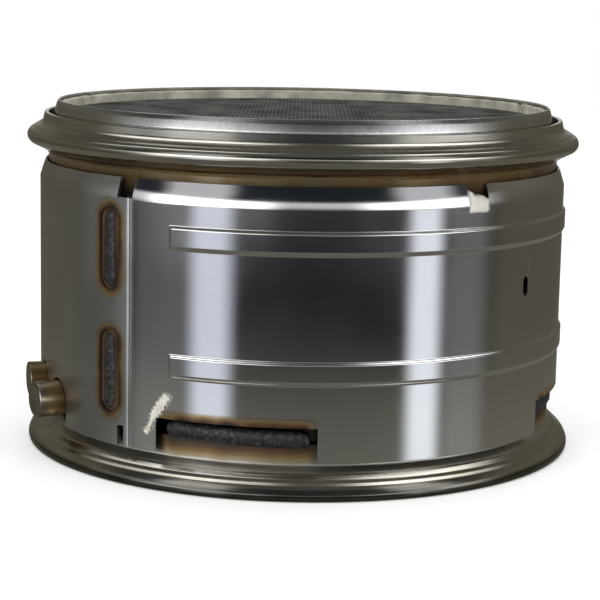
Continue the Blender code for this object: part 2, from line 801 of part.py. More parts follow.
clear_scene()
PARTS, CUTTERS = make_collections()
for finish in COLOURS:
    make_material(finish)
make_filter_block()
make_support_mat()
make_inner_can()
make_can_seam_weld()
make_lower_flange()
make_upper_flange()
make_upper_flange_weld()
make_stitch_welds()
make_insulation_blanket()
make_jacket()
make_plug_welds()
make_lugs()
make_insulation_tuft()
make_insulation_tail()
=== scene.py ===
import json
import math

import bmesh
import bpy
from mathutils import Matrix, Vector, noise

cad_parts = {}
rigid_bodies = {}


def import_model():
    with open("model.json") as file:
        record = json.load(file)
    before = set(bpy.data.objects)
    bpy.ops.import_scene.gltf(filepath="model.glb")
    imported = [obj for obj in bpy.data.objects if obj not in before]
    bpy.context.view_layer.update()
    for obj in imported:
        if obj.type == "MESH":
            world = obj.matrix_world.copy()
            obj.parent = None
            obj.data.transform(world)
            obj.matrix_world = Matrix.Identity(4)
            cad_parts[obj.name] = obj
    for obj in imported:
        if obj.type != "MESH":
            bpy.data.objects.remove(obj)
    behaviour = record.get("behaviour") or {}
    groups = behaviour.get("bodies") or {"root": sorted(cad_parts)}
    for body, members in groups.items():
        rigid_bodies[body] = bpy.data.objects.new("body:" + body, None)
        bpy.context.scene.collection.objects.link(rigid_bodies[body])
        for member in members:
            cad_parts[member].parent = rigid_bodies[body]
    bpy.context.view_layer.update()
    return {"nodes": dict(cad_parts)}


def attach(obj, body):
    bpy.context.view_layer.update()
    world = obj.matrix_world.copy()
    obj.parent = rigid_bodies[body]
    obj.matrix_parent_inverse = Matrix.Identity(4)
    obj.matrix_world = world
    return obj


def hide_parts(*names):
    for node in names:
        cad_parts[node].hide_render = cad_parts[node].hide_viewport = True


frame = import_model()

# FILTER BLOCK
# Extruded cordierite with square channels, every other one plugged at each face, then fired
# and coated. The mat grips it all round and nothing else holds it.

MM = 0.001
ROOT = "root"
BLOCK_RADIUS = 152.4 * MM
BLOCK_BASE = 7.1 * MM
BLOCK_TOP = 210.3 * MM
CHANNEL_PITCH = 2.54 * MM
CHANNEL_WALL = 0.62 * MM
CHANNEL_DEPTH = 3.4 * MM
PLUG_DEPTH = 0.35 * MM
BLOCK_SKIN = 3.0 * MM


def colour(code):
    """An sRGB hex code as the linear colour that Blender's sockets take."""
    parts = [int(code[i : i + 2], 16) / 255 for i in (1, 3, 5)]
    linear = [p / 12.92 if p <= 0.04045 else ((p + 0.055) / 1.055) ** 2.4 for p in parts]
    return (*linear, 1.0)


def add(tree, kind, inputs=None, stops=(), **settings):
    """Adds one node with its settings. An input is a value, or another node's output.

    stops are (position, hex code or grey value), for a node that holds a colour ramp."""
    made = tree.nodes.new(kind)
    for name, value in settings.items():
        setattr(made, name, value)
    for name, value in (inputs or {}).items():
        if isinstance(value, bpy.types.NodeSocket):
            tree.links.new(value, made.inputs[name])
        else:
            made.inputs[name].default_value = value
    while stops and len(made.color_ramp.elements) < len(stops):
        made.color_ramp.elements.new(0.5)
    for i, (position, value) in enumerate(stops):
        made.color_ramp.elements[i].position = position
        grey = (value, value, value, 1.0) if not isinstance(value, str) else colour(value)
        made.color_ramp.elements[i].color = grey
    return made


def start_material(name):
    """A new material, its tree and its Principled shader."""
    material = bpy.data.materials.new(name)
    material.use_nodes = True
    return material, material.node_tree, material.node_tree.nodes["Principled BSDF"]


def keep(name, mesh, slot, *stands_for):
    """Makes a finished mesh a piece of the object, in place of the CAD nodes named."""
    piece = bpy.data.objects.new(name, mesh)
    bpy.context.scene.collection.objects.link(piece)
    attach(piece, ROOT)
    if stands_for:
        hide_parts(*stands_for)
    return piece


def run_tree(name, tree, inputs, start=None):
    """Runs a geometry tree, on a start mesh if it needs one, and returns a plain mesh."""
    holder = bpy.data.objects.new(name, start or bpy.data.meshes.new(name))
    bpy.context.scene.collection.objects.link(holder)
    modifier = holder.modifiers.new("build", "NODES")
    modifier.node_group = tree
    for item in tree.interface.items_tree:
        if item.in_out == "INPUT" and item.name in inputs:
            modifier[item.identifier] = inputs[item.name]
    graph = bpy.context.evaluated_depsgraph_get()
    mesh = bpy.data.meshes.new_from_object(holder.evaluated_get(graph))
    bpy.data.objects.remove(holder, do_unlink=True)
    mesh.name = name
    return mesh


def geometry_tree(name, sizes, material, takes_mesh=False):
    """An empty geometry tree with named inputs. Returns it with its input and output nodes."""
    tree = bpy.data.node_groups.new(name, "GeometryNodeTree")
    if takes_mesh:
        tree.interface.new_socket("Geometry", in_out="INPUT", socket_type="NodeSocketGeometry")
    for size, value in sizes.items():
        kind = "NodeSocketInt" if isinstance(value, int) else "NodeSocketFloat"
        socket = tree.interface.new_socket(size, in_out="INPUT", socket_type=kind)
        socket.default_value = value
    socket = tree.interface.new_socket(
        "Material", in_out="INPUT", socket_type="NodeSocketMaterial"
    )
    socket.default_value = material
    tree.interface.new_socket("Geometry", in_out="OUTPUT", socket_type="NodeSocketGeometry")
    return tree, add(tree, "NodeGroupInput").outputs, add(tree, "NodeGroupOutput")


def finish_tree(tree, given, end, geometry):
    """Ends a tree: real geometry in place of instances, and the material."""
    real = add(tree, "GeometryNodeRealizeInstances", {"Geometry": geometry})
    painted = add(
        tree,
        "GeometryNodeSetMaterial",
        {"Geometry": real.outputs[0], "Material": given["Material"]},
    )
    tree.links.new(painted.outputs[0], end.inputs["Geometry"])


# Cordierite: a dark, dry, matt ceramic. The coating leaves it patchy. The channel floors carry painted
# shade:
# the open channels are painted nearly black beside their plugged neighbours, for the shade down their
# length.
ceramic, tree, shader = start_material("coated_cordierite")
place = add(tree, "ShaderNodeTexCoord").outputs["Object"]
patches = add(tree, "ShaderNodeTexNoise", {"Vector": place, "Scale": 42.0, "Detail": 5.0})
grit = add(tree, "ShaderNodeTexNoise", {"Vector": place, "Scale": 2600.0, "Detail": 2.0})
painted_channel_shade = add(tree, "ShaderNodeAttribute", attribute_name="painted_channel_shade").outputs["Fac"]
wall = add(
    tree,
    "ShaderNodeValToRGB",
    {"Fac": patches.outputs["Fac"]},
    [(0.36, "#343633"), (0.5, "#4C4E4A"), (0.66, "#5A5C57")],
)
# Painted shade on the channel floors: open channels nearly black, plugged ones a little darker than
# the face.
inside = add(
    tree,
    "ShaderNodeValToRGB",
    {"Fac": painted_channel_shade},
    [(0.0, 1.0), (0.45, 0.8), (0.55, 0.8), (1.0, 0.2)],
)
mixed = add(
    tree,
    "ShaderNodeMix",
    {0: 1.0, 6: wall.outputs["Color"], 7: inside.outputs["Color"]},
    data_type="RGBA",
    blend_type="MULTIPLY",
)
bump = add(
    tree, "ShaderNodeBump", {"Strength": 0.5, "Distance": 0.2 * MM, "Height": grit.outputs["Fac"]}
)
tree.links.new(mixed.outputs[2], shader.inputs["Base Color"])
tree.links.new(bump.outputs[0], shader.inputs["Normal"])
shader.inputs["Roughness"].default_value = 0.88

# The channels of one face: a grid of squares on the block's face, each shrunk to leave the
# walls, with every other one pushed in deep and its neighbours only as far as their plugs.
tree, given, end = geometry_tree(
    "channel_face",
    {"Radius": 0.15, "Pitch": 0.0025, "Wall": 0.0005, "Depth": 0.003, "Plug Depth": 0.0003},
    ceramic,
)
across = add(tree, "ShaderNodeMath", {0: given["Radius"], 1: given["Pitch"]}, operation="DIVIDE")
half = add(tree, "ShaderNodeMath", {0: across.outputs[0]}, operation="CEIL")
cells = add(tree, "ShaderNodeMath", {0: half.outputs[0], 1: 2.0}, operation="MULTIPLY")
count = add(tree, "ShaderNodeMath", {0: cells.outputs[0], 1: 1.0}, operation="ADD")
span = add(tree, "ShaderNodeMath", {0: cells.outputs[0], 1: given["Pitch"]}, operation="MULTIPLY")
grid = add(
    tree,
    "GeometryNodeMeshGrid",
    {
        "Size X": span.outputs[0],
        "Size Y": span.outputs[0],
        "Vertices X": count.outputs[0],
        "Vertices Y": count.outputs[0],
    },
)
position = add(tree, "GeometryNodeInputPosition").outputs[0]
spot = add(tree, "ShaderNodeSeparateXYZ", {"Vector": position}).outputs
flat = add(tree, "ShaderNodeCombineXYZ", {"X": spot["X"], "Y": spot["Y"]}).outputs[0]
reach = add(tree, "ShaderNodeVectorMath", {0: flat}, operation="LENGTH").outputs["Value"]
outside = add(
    tree, "ShaderNodeMath", {0: reach, 1: given["Radius"]}, operation="GREATER_THAN"
).outputs[0]
disc = add(
    tree,
    "GeometryNodeDeleteGeometry",
    {"Geometry": grid.outputs["Mesh"], "Selection": outside},
    domain="FACE",
)
in_x = add(tree, "ShaderNodeMath", {0: spot["X"], 1: given["Pitch"]}, operation="DIVIDE")
in_y = add(tree, "ShaderNodeMath", {0: spot["Y"], 1: given["Pitch"]}, operation="DIVIDE")
row = add(tree, "ShaderNodeMath", {0: in_x.outputs[0]}, operation="FLOOR").outputs[0]
column = add(tree, "ShaderNodeMath", {0: in_y.outputs[0]}, operation="FLOOR").outputs[0]
both = add(tree, "ShaderNodeMath", {0: row, 1: column}, operation="ADD").outputs[0]
odd = add(tree, "ShaderNodeMath", {0: both, 1: 1.0}, operation="PINGPONG").outputs[0]
marked = add(
    tree,
    "GeometryNodeStoreNamedAttribute",
    {"Geometry": disc.outputs[0], "Name": "open_end", "Value": odd},
    data_type="FLOAT",
    domain="FACE",
)
rims = add(
    tree,
    "GeometryNodeExtrudeMesh",
    {"Mesh": marked.outputs[0], "Offset Scale": 0.0, "Individual": True},
    mode="FACES",
)
lost = add(tree, "ShaderNodeMath", {0: given["Wall"], 1: given["Pitch"]}, operation="DIVIDE")
share = add(tree, "ShaderNodeMath", {0: 1.0, 1: lost.outputs[0]}, operation="SUBTRACT")
mouths = add(
    tree,
    "GeometryNodeScaleElements",
    {"Geometry": rims.outputs["Mesh"], "Selection": rims.outputs["Top"], "Scale": share.outputs[0]},
    domain="FACE",
)
is_open = add(
    tree, "GeometryNodeInputNamedAttribute", {"Name": "open_end"}, data_type="FLOAT"
).outputs["Attribute"]
extra = add(
    tree, "ShaderNodeMath", {0: given["Depth"], 1: given["Plug Depth"]}, operation="SUBTRACT"
).outputs[0]
depth = add(
    tree,
    "ShaderNodeMath",
    {0: extra, 1: is_open, 2: given["Plug Depth"]},
    operation="MULTIPLY_ADD",
).outputs[0]
inwards = add(tree, "ShaderNodeMath", {0: depth, 1: -1.0}, operation="MULTIPLY").outputs[0]
pits = add(
    tree,
    "GeometryNodeExtrudeMesh",
    {
        "Mesh": mouths.outputs[0],
        "Selection": rims.outputs["Top"],
        "Offset Scale": inwards,
        "Individual": True,
    },
    mode="FACES",
)
# Painted shade stored on each channel floor: more for an open channel than for a plugged one.
shade = add(
    tree, "ShaderNodeMath", {0: is_open, 1: 0.5, 2: 0.5}, operation="MULTIPLY_ADD"
).outputs[0]
coloured = add(
    tree,
    "GeometryNodeStoreNamedAttribute",
    {
        "Geometry": pits.outputs["Mesh"],
        "Selection": pits.outputs["Top"],
        "Name": "painted_channel_shade",
        "Value": shade,
    },
    data_type="FLOAT",
    domain="FACE",
)
finish_tree(tree, given, end, coloured.outputs[0])
channel_tree = tree


def rounded(profile, radius, steps=3):
    """The closed profile with each corner replaced by a small curve, for a soft edge."""
    points = []
    count = len(profile)
    for i in range(count):
        before, corner, after = (Vector(profile[(i + k) % count]) for k in (-1, 0, 1))
        back, ahead = before - corner, after - corner
        start = corner + back.normalized() * min(radius, back.length * 0.45)
        stop = corner + ahead.normalized() * min(radius, ahead.length * 0.45)
        for step in range(steps + 1):
            t = step / steps
            points.append(start * (1 - t) ** 2 + corner * 2 * t * (1 - t) + stop * t**2)
    return points


def smooth(mesh, angle=35):
    mesh.shade_smooth()
    mesh.set_sharp_from_angle(angle=math.radians(angle))


def mesh_from(name, bm, material, angle=35):
    """The finished mesh of a bmesh, with its faces turned outwards."""
    bmesh.ops.remove_doubles(bm, verts=bm.verts, dist=1e-7)
    bmesh.ops.recalc_face_normals(bm, faces=bm.faces)
    mesh = bpy.data.meshes.new(name)
    bm.to_mesh(mesh)
    bm.free()
    smooth(mesh, angle)
    if material:
        mesh.materials.append(material)
    return mesh


def lathe(name, profile, material, steps=360):
    """A smooth turned mesh from a closed profile of (radius, height), outer side downwards."""
    bm = bmesh.new()
    rings = []
    for step in range(steps):
        angle = math.tau * step / steps
        side, front = math.sin(angle), -math.cos(angle)
        rings.append([bm.verts.new((side * p[0], front * p[0], p[1])) for p in profile])
    for i in range(steps):
        near, far = rings[i], rings[(i + 1) % steps]
        for j in range(len(profile)):
            k = (j + 1) % len(profile)
            if (near[j].co - near[k].co).length > 1e-9:
                bm.faces.new((near[j], near[k], far[k], far[j]))
    return mesh_from(name, bm, material)


low, high = BLOCK_BASE + CHANNEL_DEPTH, BLOCK_TOP - CHANNEL_DEPTH
skin = BLOCK_RADIUS - BLOCK_SKIN
body = lathe(
    "filter_block_body",
    [
        (skin, BLOCK_TOP),
        (BLOCK_RADIUS, BLOCK_TOP),
        (BLOCK_RADIUS, BLOCK_BASE),
        (skin, BLOCK_BASE),
        (skin, low),
        (0.0, low),
        (0.0, high),
        (skin, high),
    ],
    ceramic,
)
keep("filter_block_body", body, "ceramic", "filter_block")
for name, turned_over, height in (("inlet", 0.0, BLOCK_TOP), ("outlet", math.pi, BLOCK_BASE)):
    cells = run_tree(
        f"filter_block_{name}_cells",
        channel_tree,
        {
            "Radius": skin + CHANNEL_PITCH / 2,
            "Pitch": CHANNEL_PITCH,
            "Wall": CHANNEL_WALL,
            "Depth": CHANNEL_DEPTH,
            "Plug Depth": PLUG_DEPTH,
            "Material": ceramic,
        },
    )
    inset = 0.1 * MM if turned_over else -0.1 * MM
    turn = Matrix.Rotation(turned_over, 4, "X")
    cells.transform(Matrix.Translation((0, 0, height + inset)) @ turn)
    keep(f"filter_block_{name}_cells", cells, "ceramic")

# SUPPORT MAT
# Ceramic-fibre paper wrapped round the block with a tongue joint and pressed into the can with
# it. Its cut edge stands proud of the block and shows its fluffed layers.

MAT_INNER = 152.7 * MM
MAT_OUTER = 157.2 * MM
MAT_LOW = 3.9 * MM
MAT_HIGH = 216.3 * MM
MAT_JOINT = 110.0
MAT_JOINT_HALF = 4.5 * MM
MAT_JOINT_DEPTH = 5.4 * MM

# Alumina fibre paper: grey-white with soot, quite without shine, with loose layers at its edge.
mat_paper, tree, shader = start_material("alumina_fibre_paper")
place = add(tree, "ShaderNodeTexCoord").outputs["Object"]
stretch = add(tree, "ShaderNodeMapping", {"Vector": place, "Scale": (1.0, 1.0, 3.0)}).outputs[0]
fluff = add(tree, "ShaderNodeTexNoise", {"Vector": stretch, "Scale": 1500.0, "Detail": 4.0})
soil = add(tree, "ShaderNodeTexNoise", {"Vector": place, "Scale": 60.0, "Detail": 6.0})
tone = add(
    tree,
    "ShaderNodeValToRGB",
    {"Fac": soil.outputs["Fac"]},
    [(0.32, "#85837A"), (0.5, "#A29F92"), (0.7, "#BBB7AA")],
)
bump = add(
    tree, "ShaderNodeBump", {"Strength": 0.8, "Distance": 0.3 * MM, "Height": fluff.outputs["Fac"]}
)
tree.links.new(tone.outputs["Color"], shader.inputs["Base Color"])
tree.links.new(bump.outputs[0], shader.inputs["Normal"])
shader.inputs["Roughness"].default_value = 1.0
shader.inputs["Specular IOR Level"].default_value = 0.1


def polar(azimuth, radius, height):
    """A point at this azimuth, in degrees from the front, positive to the right."""
    angle = math.radians(azimuth)
    return Vector((math.sin(angle) * radius, -math.cos(angle) * radius, height))


def ring_of_rows(name, columns, rows, shape, material, closed=True):
    """A closed solid whose section is the loop shape(azimuth, row) gives, at each azimuth."""
    bm = bmesh.new()
    loops = [[bm.verts.new(shape(a, j)) for j in range(rows)] for a in columns]
    last = len(loops) if closed else len(loops) - 1
    for i in range(last):
        near, far = loops[i], loops[(i + 1) % len(loops)]
        for j in range(rows):
            k = (j + 1) % rows
            bm.faces.new((near[j], near[k], far[k], far[j]))
    if not closed:
        bm.faces.new(loops[0])
        bm.faces.new(reversed(loops[-1]))
    return mesh_from(name, bm, material, 60)


MAT_ROWS = 8


def mat_edge(azimuth, row):
    """The mat's section: two plain walls, and an upper edge that is uneven and fluffed."""
    away = abs((azimuth - MAT_JOINT + 180) % 360 - 180) * math.radians(1) * MAT_OUTER
    dip = max(0.0, 1 - away / MAT_JOINT_HALF) * MAT_JOINT_DEPTH
    if row == 0:
        return polar(azimuth, MAT_OUTER, MAT_LOW)
    if row == MAT_ROWS + 2:
        return polar(azimuth, MAT_INNER, MAT_LOW)
    t = (row - 1) / MAT_ROWS
    radius = MAT_OUTER + (MAT_INNER - MAT_OUTER) * t
    crown = math.sin(math.pi * t) ** 0.5 * 0.9 * MM
    wave = noise.noise(polar(azimuth, 18.0, t * 2.0)) * 0.35 * MM
    tuft = noise.noise(polar(azimuth, 160.0, t * 9.0)) * 0.4 * MM
    return polar(azimuth, radius, MAT_HIGH - 1.3 * MM + crown + wave + tuft - dip)


mat = ring_of_rows(
    "support_mat_paper", [i * 0.375 for i in range(960)], MAT_ROWS + 3, mat_edge, mat_paper
)
keep("support_mat_paper", mat, "mat_fibre", "support_mat")

# INNER CAN
# Stainless sheet rolled, butt-welded and sized over the mat. Its upper lip is drawn in to hold
# the mat and lead the mating pipe on. Sizing leaves fine marks down the wall.

CAN_OUTER = 159.5 * MM
CAN_INNER = 157.5 * MM
CAN_LIP_DRAW = 2.3 * MM
CAN_LIP = 7.5 * MM
CAN_TOP = 218.1 * MM
CAN_BASE = 2.6 * MM
CAN_SHADE_TOP = 200.0 * MM
CAN_FADE = 1.0 * MM


def steel(name, tint, shine, streak, across, depth):
    """Stainless steel that reads its tint of heat, dulling, and painted shade and grime from the mesh.

    tint is its two clean tones. streak stretches its fine marks up the part, or round it if
    below 1, and depth is how deep they are."""
    material, tree, shader = start_material(name)
    place = add(tree, "ShaderNodeTexCoord").outputs["Object"]
    squeeze = (1.0, 1.0, 1.0 / streak) if streak > 1 else (streak, streak, 1.0)
    lines = add(tree, "ShaderNodeMapping", {"Vector": place, "Scale": squeeze}).outputs[0]
    marks = add(
        tree,
        "ShaderNodeTexNoise",
        {"Vector": lines, "Scale": across, "Detail": 6.0, "Roughness": 0.7},
    ).outputs["Fac"]
    clouds = add(tree, "ShaderNodeTexNoise", {"Vector": place, "Scale": 22.0, "Detail": 4.0})
    heat = add(tree, "ShaderNodeAttribute", attribute_name="scorch").outputs["Fac"]
    clean = add(
        tree, "ShaderNodeValToRGB", {"Fac": marks}, [(0.35, tint[0]), (0.65, tint[1])]
    ).outputs["Color"]
    temper = add(
        tree,
        "ShaderNodeValToRGB",
        {"Fac": heat},
        [
            (0.0, "#FFFFFF"),
            (0.15, "#D8C9A8"),
            (0.35, "#A58A60"),
            (0.55, "#6E5335"),
            (0.75, "#453122"),
            (1.0, "#241C18"),
        ],
    ).outputs["Color"]
    skin = add(
        tree,
        "ShaderNodeMix",
        {0: 1.0, 6: clean, 7: temper},
        data_type="RGBA",
        blend_type="MULTIPLY",
    ).outputs[2]
    # Painted shade and grime: an olive-black colour that soaks up the shine. It is painted shade where
    # a part lies hidden in shadow, and a real film of grime elsewhere.
    shade_and_grime = add(tree, "ShaderNodeAttribute", attribute_name="shade_and_grime").outputs["Fac"]
    shaded_and_soiled = add(
        tree, "ShaderNodeMix", {0: shade_and_grime, 6: skin, 7: colour("#1E1D18")}, data_type="RGBA"
    ).outputs[2]
    blur = add(
        tree,
        "ShaderNodeMapRange",
        {
            "Value": clouds.outputs["Fac"],
            "From Min": 0.3,
            "From Max": 0.7,
            "To Min": shine[0],
            "To Max": shine[1],
        },
    ).outputs[0]
    rougher = add(tree, "ShaderNodeMath", {0: heat, 1: 0.2, 2: blur}, operation="MULTIPLY_ADD")
    worn = add(tree, "ShaderNodeAttribute", attribute_name="dull").outputs["Fac"]
    dull = add(
        tree, "ShaderNodeMath", {0: worn, 1: 0.24, 2: rougher.outputs[0]}, operation="MULTIPLY_ADD"
    )
    # Thick oxide hides the metal below it, so the tinted skin is seen by its own colour.
    bare = add(
        tree,
        "ShaderNodeMapRange",
        {"Value": heat, "From Min": 0.1, "From Max": 0.6, "To Min": 1.0, "To Max": 0.4},
    )
    bump = add(
        tree, "ShaderNodeBump", {"Strength": 1.0, "Distance": depth, "Height": marks}
    )
    tree.links.new(shaded_and_soiled, shader.inputs["Base Color"])
    tree.links.new(dull.outputs[0], shader.inputs["Roughness"])
    tree.links.new(bare.outputs[0], shader.inputs["Metallic"])
    tree.links.new(bump.outputs[0], shader.inputs["Normal"])
    return material


def paint(mesh, name, value_at):
    """Stores a number at every point of a mesh, for its material to read."""
    values = mesh.attributes.new(name, "FLOAT", "POINT")
    values.data.foreach_set("value", [value_at(v.co) for v in mesh.vertices])


# Sized stainless sheet: bright, with fine upright marks that spread a reflection sideways.
can_steel = steel(
    "sized_stainless_sheet", ("#BDBDBC", "#D2D2D1"), (0.2, 0.28), 40.0, 1400.0, 0.003 * MM
)
can = lathe(
    "inner_can_wall",
    rounded(
        [
            (CAN_OUTER - CAN_LIP_DRAW, CAN_TOP),
            (CAN_OUTER - CAN_LIP_DRAW / 2, CAN_TOP - CAN_LIP / 3),
            (CAN_OUTER, CAN_TOP - CAN_LIP),
            (CAN_OUTER, CAN_SHADE_TOP + CAN_FADE),
            (CAN_OUTER, CAN_SHADE_TOP - CAN_FADE),
            (CAN_OUTER, CAN_BASE),
            (CAN_INNER, CAN_BASE),
            (CAN_INNER, CAN_TOP - CAN_LIP),
            (CAN_INNER - 0.1 * MM, CAN_TOP - CAN_LIP / 3),
            (CAN_OUTER - CAN_LIP_DRAW - 1.0 * MM, CAN_TOP),
        ],
        0.5 * MM,
    ),
    can_steel,
)
# What the flanges and the jacket hide is painted near black: painted shade for the can seen in shadow
# through the openings.
paint(can, "shade_and_grime", lambda point: 0.92 if point.z < CAN_SHADE_TOP else 0.0)
keep("inner_can_wall", can, "can_steel", "inner_can")

# LOWER FLANGE
# Forged ring turned all over, with a slope for the clamp band. Its skirt sits round the can and
# is stitch-welded to it, which tints the skirt gold and brown.

SKIRT_BORE = 160.4 * MM
SKIRT_RADIUS = 163.4 * MM
FLANGE_RADIUS = 176.8 * MM
LOWER_SKIRT_TOP = 31.2 * MM
WINDOW_AZIMUTH = -12.75
WINDOW_HALF = 16.7
WINDOW_COUNT = 4
WINDOW_STEP = 360 / WINDOW_COUNT
LUGS = {"pin": (-62.0, 37.4 * MM, 11.1 * MM), "boss": (-72.8, 43.6 * MM, 10.5 * MM)}


def azimuth_of(point):
    return math.degrees(math.atan2(point.x, -point.y))


def blend(value, start, stop):
    """A smooth step from 0 at start to 1 at stop."""
    t = min(max((value - start) / (stop - start), 0.0), 1.0)
    return t * t * (3 - 2 * t)


def from_window(azimuth):
    """Degrees outside the nearest window, or below zero inside it."""
    near = (azimuth - WINDOW_AZIMUTH + WINDOW_STEP / 2) % WINDOW_STEP - WINDOW_STEP / 2
    return abs(near) - WINDOW_HALF


def lower_heat(point):
    """Tint of the skirt: darkest at the stitch weld, fading down and to the sides."""
    drop = max(0.0, LOWER_SKIRT_TOP - 2.0 * MM - point.z)
    reach = math.hypot(drop, max(0.0, from_window(azimuth_of(point)) + 2.0) * 2.6 * MM)
    patch = 0.14 * noise.noise(point * 90.0)
    return min(max(0.95 - reach / (11.0 * MM) + patch, 0.03 + patch / 4), 1.0)


def lower_shade_and_darkening(point):
    """Darker on the rim that stands on the bench, painted shade behind the jacket beside each window,
    and dark specks of dirt.
    """
    rim = 0.75 * blend(point.z, 6.4 * MM, 4.8 * MM)
    outside = from_window(azimuth_of(point))
    # Painted shade on the skirt behind the jacket, outside each window.
    crevice = 0.95 * blend(outside, -1.4, -0.7) * blend(point.z, 19.0 * MM, 20.5 * MM)
    specks = 0.25 * max(0.0, noise.noise(point * 45.0) - 0.1)
    return min(max(rim, crevice) + specks, 1.0)


def lower_dull(point):
    """The flange is as forged just below the skirt, where the tool has not reached."""
    return blend(point.z, 14.5 * MM, 16.0 * MM) * blend(point.z, 22.0 * MM, 20.0 * MM)


# Turned steel: satin, with a faint olive cast and the tool's fine rings round it.
flange_steel = steel(
    "turned_stainless", ("#BFBDB5", "#D0CEC7"), (0.14, 0.2), 0.02, 1800.0, 0.004 * MM
)
flange_profile = rounded(
    [
        (SKIRT_RADIUS, LOWER_SKIRT_TOP),
        (SKIRT_RADIUS, 19.2 * MM),
        (163.8 * MM, 18.4 * MM),
        (165.0 * MM, 17.3 * MM),
        (167.7 * MM, 14.9 * MM),
        (168.1 * MM, 14.1 * MM),
        (170.8 * MM, 12.3 * MM),
        (172.3 * MM, 10.6 * MM),
        (174.1 * MM, 9.1 * MM),
        (175.3 * MM, 7.4 * MM),
        (176.1 * MM, 5.8 * MM),
        (176.7 * MM, 4.2 * MM),
        (FLANGE_RADIUS, 2.6 * MM),
        (176.3 * MM, 0.7 * MM),
        (174.7 * MM, 0.0),
        (162.6 * MM, 0.0),
        (SKIRT_BORE, 2.2 * MM),
        (SKIRT_BORE, LOWER_SKIRT_TOP - 0.8 * MM),
        (SKIRT_BORE + 0.8 * MM, LOWER_SKIRT_TOP),
    ],
    0.35 * MM,
)


def cutter(name, outline, azimuth, inner, outer, height=0.0):
    """A prism that runs through a wall at this azimuth, with the outline facing outwards."""
    bm = bmesh.new()
    out = polar(azimuth, 1.0, 0.0)
    up = Vector((0.0, 0.0, 1.0))
    across = up.cross(out)
    ends = [
        [bm.verts.new(out * reach + across * x + up * (y + height)) for x, y in outline]
        for reach in (inner, outer)
    ]
    for i in range(len(outline)):
        j = (i + 1) % len(outline)
        bm.faces.new((ends[0][i], ends[0][j], ends[1][j], ends[1][i]))
    bm.faces.new(ends[0])
    bm.faces.new(reversed(ends[1]))
    return mesh_from(name, bm, None)


def subtract(mesh, cutters):
    """The mesh with each cutter taken out of it by an exact Boolean."""
    body = bpy.data.objects.new("stock", mesh)
    bpy.context.scene.collection.objects.link(body)
    tools = bpy.data.collections.new("tools")
    for shape in cutters:
        tools.objects.link(bpy.data.objects.new(shape.name, shape))
    boolean = body.modifiers.new("cut", "BOOLEAN")
    boolean.operand_type = "COLLECTION"
    boolean.collection = tools
    boolean.operation = "DIFFERENCE"
    boolean.solver = "EXACT"
    graph = bpy.context.evaluated_depsgraph_get()
    cut = bpy.data.meshes.new_from_object(body.evaluated_get(graph))
    bpy.data.objects.remove(body, do_unlink=True)
    for tool in list(tools.objects):
        bpy.data.objects.remove(tool, do_unlink=True)
    bpy.data.collections.remove(tools)
    cut.name = mesh.name
    return cut


def disc_outline(radius, sides=40):
    turns = [math.tau * i / sides for i in range(sides)]
    return [(radius * math.cos(turn), radius * math.sin(turn)) for turn in turns]


scallops = [
    cutter("scallop", disc_outline(radius + 3.2 * MM), azimuth, 158.0 * MM, 180.0 * MM, height)
    for azimuth, height, radius in LUGS.values()
]
ring = subtract(lathe("lower_flange_ring", flange_profile, flange_steel), scallops)
smooth(ring)
paint(ring, "scorch", lower_heat)
paint(ring, "dull", lower_dull)
paint(ring, "shade_and_grime", lower_shade_and_darkening)
keep("lower_flange_ring", ring, "flange_steel", "lower_flange")

# UPPER FLANGE
# The same forging turned with a thin collar that stands clear of the can's lip. Its skirt runs
# down inside the jacket to a weld all round, and the heat has browned it.

NOSE = 196.2 * MM
UPPER_SKIRT_BASE = 171.5 * MM


def upper_heat(point):
    """Tint of the neck below the clamp slope, mottled and darkest towards the weld."""
    depth = (187.5 * MM - point.z) / (9.0 * MM)
    if depth <= 0:
        return 0.02
    patch = 0.16 * noise.noise(point * 60.0) + 0.08 * noise.noise(point * 240.0)
    browner = 0.16 * blend(azimuth_of(point), 0.0, 40.0)
    return min(max(0.17 + 0.3 * min(depth, 1.0) + browner + patch, 0.0), 1.0)


upper_profile = rounded(
    [
        (165.5 * MM, 210.6 * MM),
        (166.0 * MM, 210.1 * MM),
        (166.9 * MM, 205.6 * MM),
        (168.4 * MM, 204.1 * MM),
        (171.6 * MM, 202.4 * MM),
        (173.0 * MM, 201.3 * MM),
        (175.0 * MM, 200.2 * MM),
        (176.3 * MM, 198.6 * MM),
        (FLANGE_RADIUS, 197.2 * MM),
        (FLANGE_RADIUS, 195.2 * MM),
        (176.3 * MM, 193.8 * MM),
        (175.0 * MM, 192.2 * MM),
        (170.6 * MM, 190.1 * MM),
        (166.6 * MM, 188.0 * MM),
        (164.5 * MM, 186.4 * MM),
        (SKIRT_RADIUS, 184.8 * MM),
        (SKIRT_RADIUS, UPPER_SKIRT_BASE),
        (SKIRT_BORE, UPPER_SKIRT_BASE),
        (SKIRT_BORE, NOSE),
        (163.4 * MM, 198.2 * MM),
        (163.4 * MM, 210.6 * MM),
    ],
    0.4 * MM,
)
ring = lathe("upper_flange_ring", upper_profile, flange_steel)
paint(ring, "scorch", upper_heat)
# Below the jacket's top the ring is painted near black: painted shade for what shows in shadow down
# the jacket's notches.
paint(ring, "shade_and_grime", lambda point: 0.85 * blend(point.z, 181.5 * MM, 178.5 * MM))
keep("upper_flange_ring", ring, "flange_steel", "upper_flange")

# HIDDEN WELDS
# A fillet all round under the upper skirt, and the can's own butt weld in the split of the
# insulation. Both are plain runs that stay out of sight.

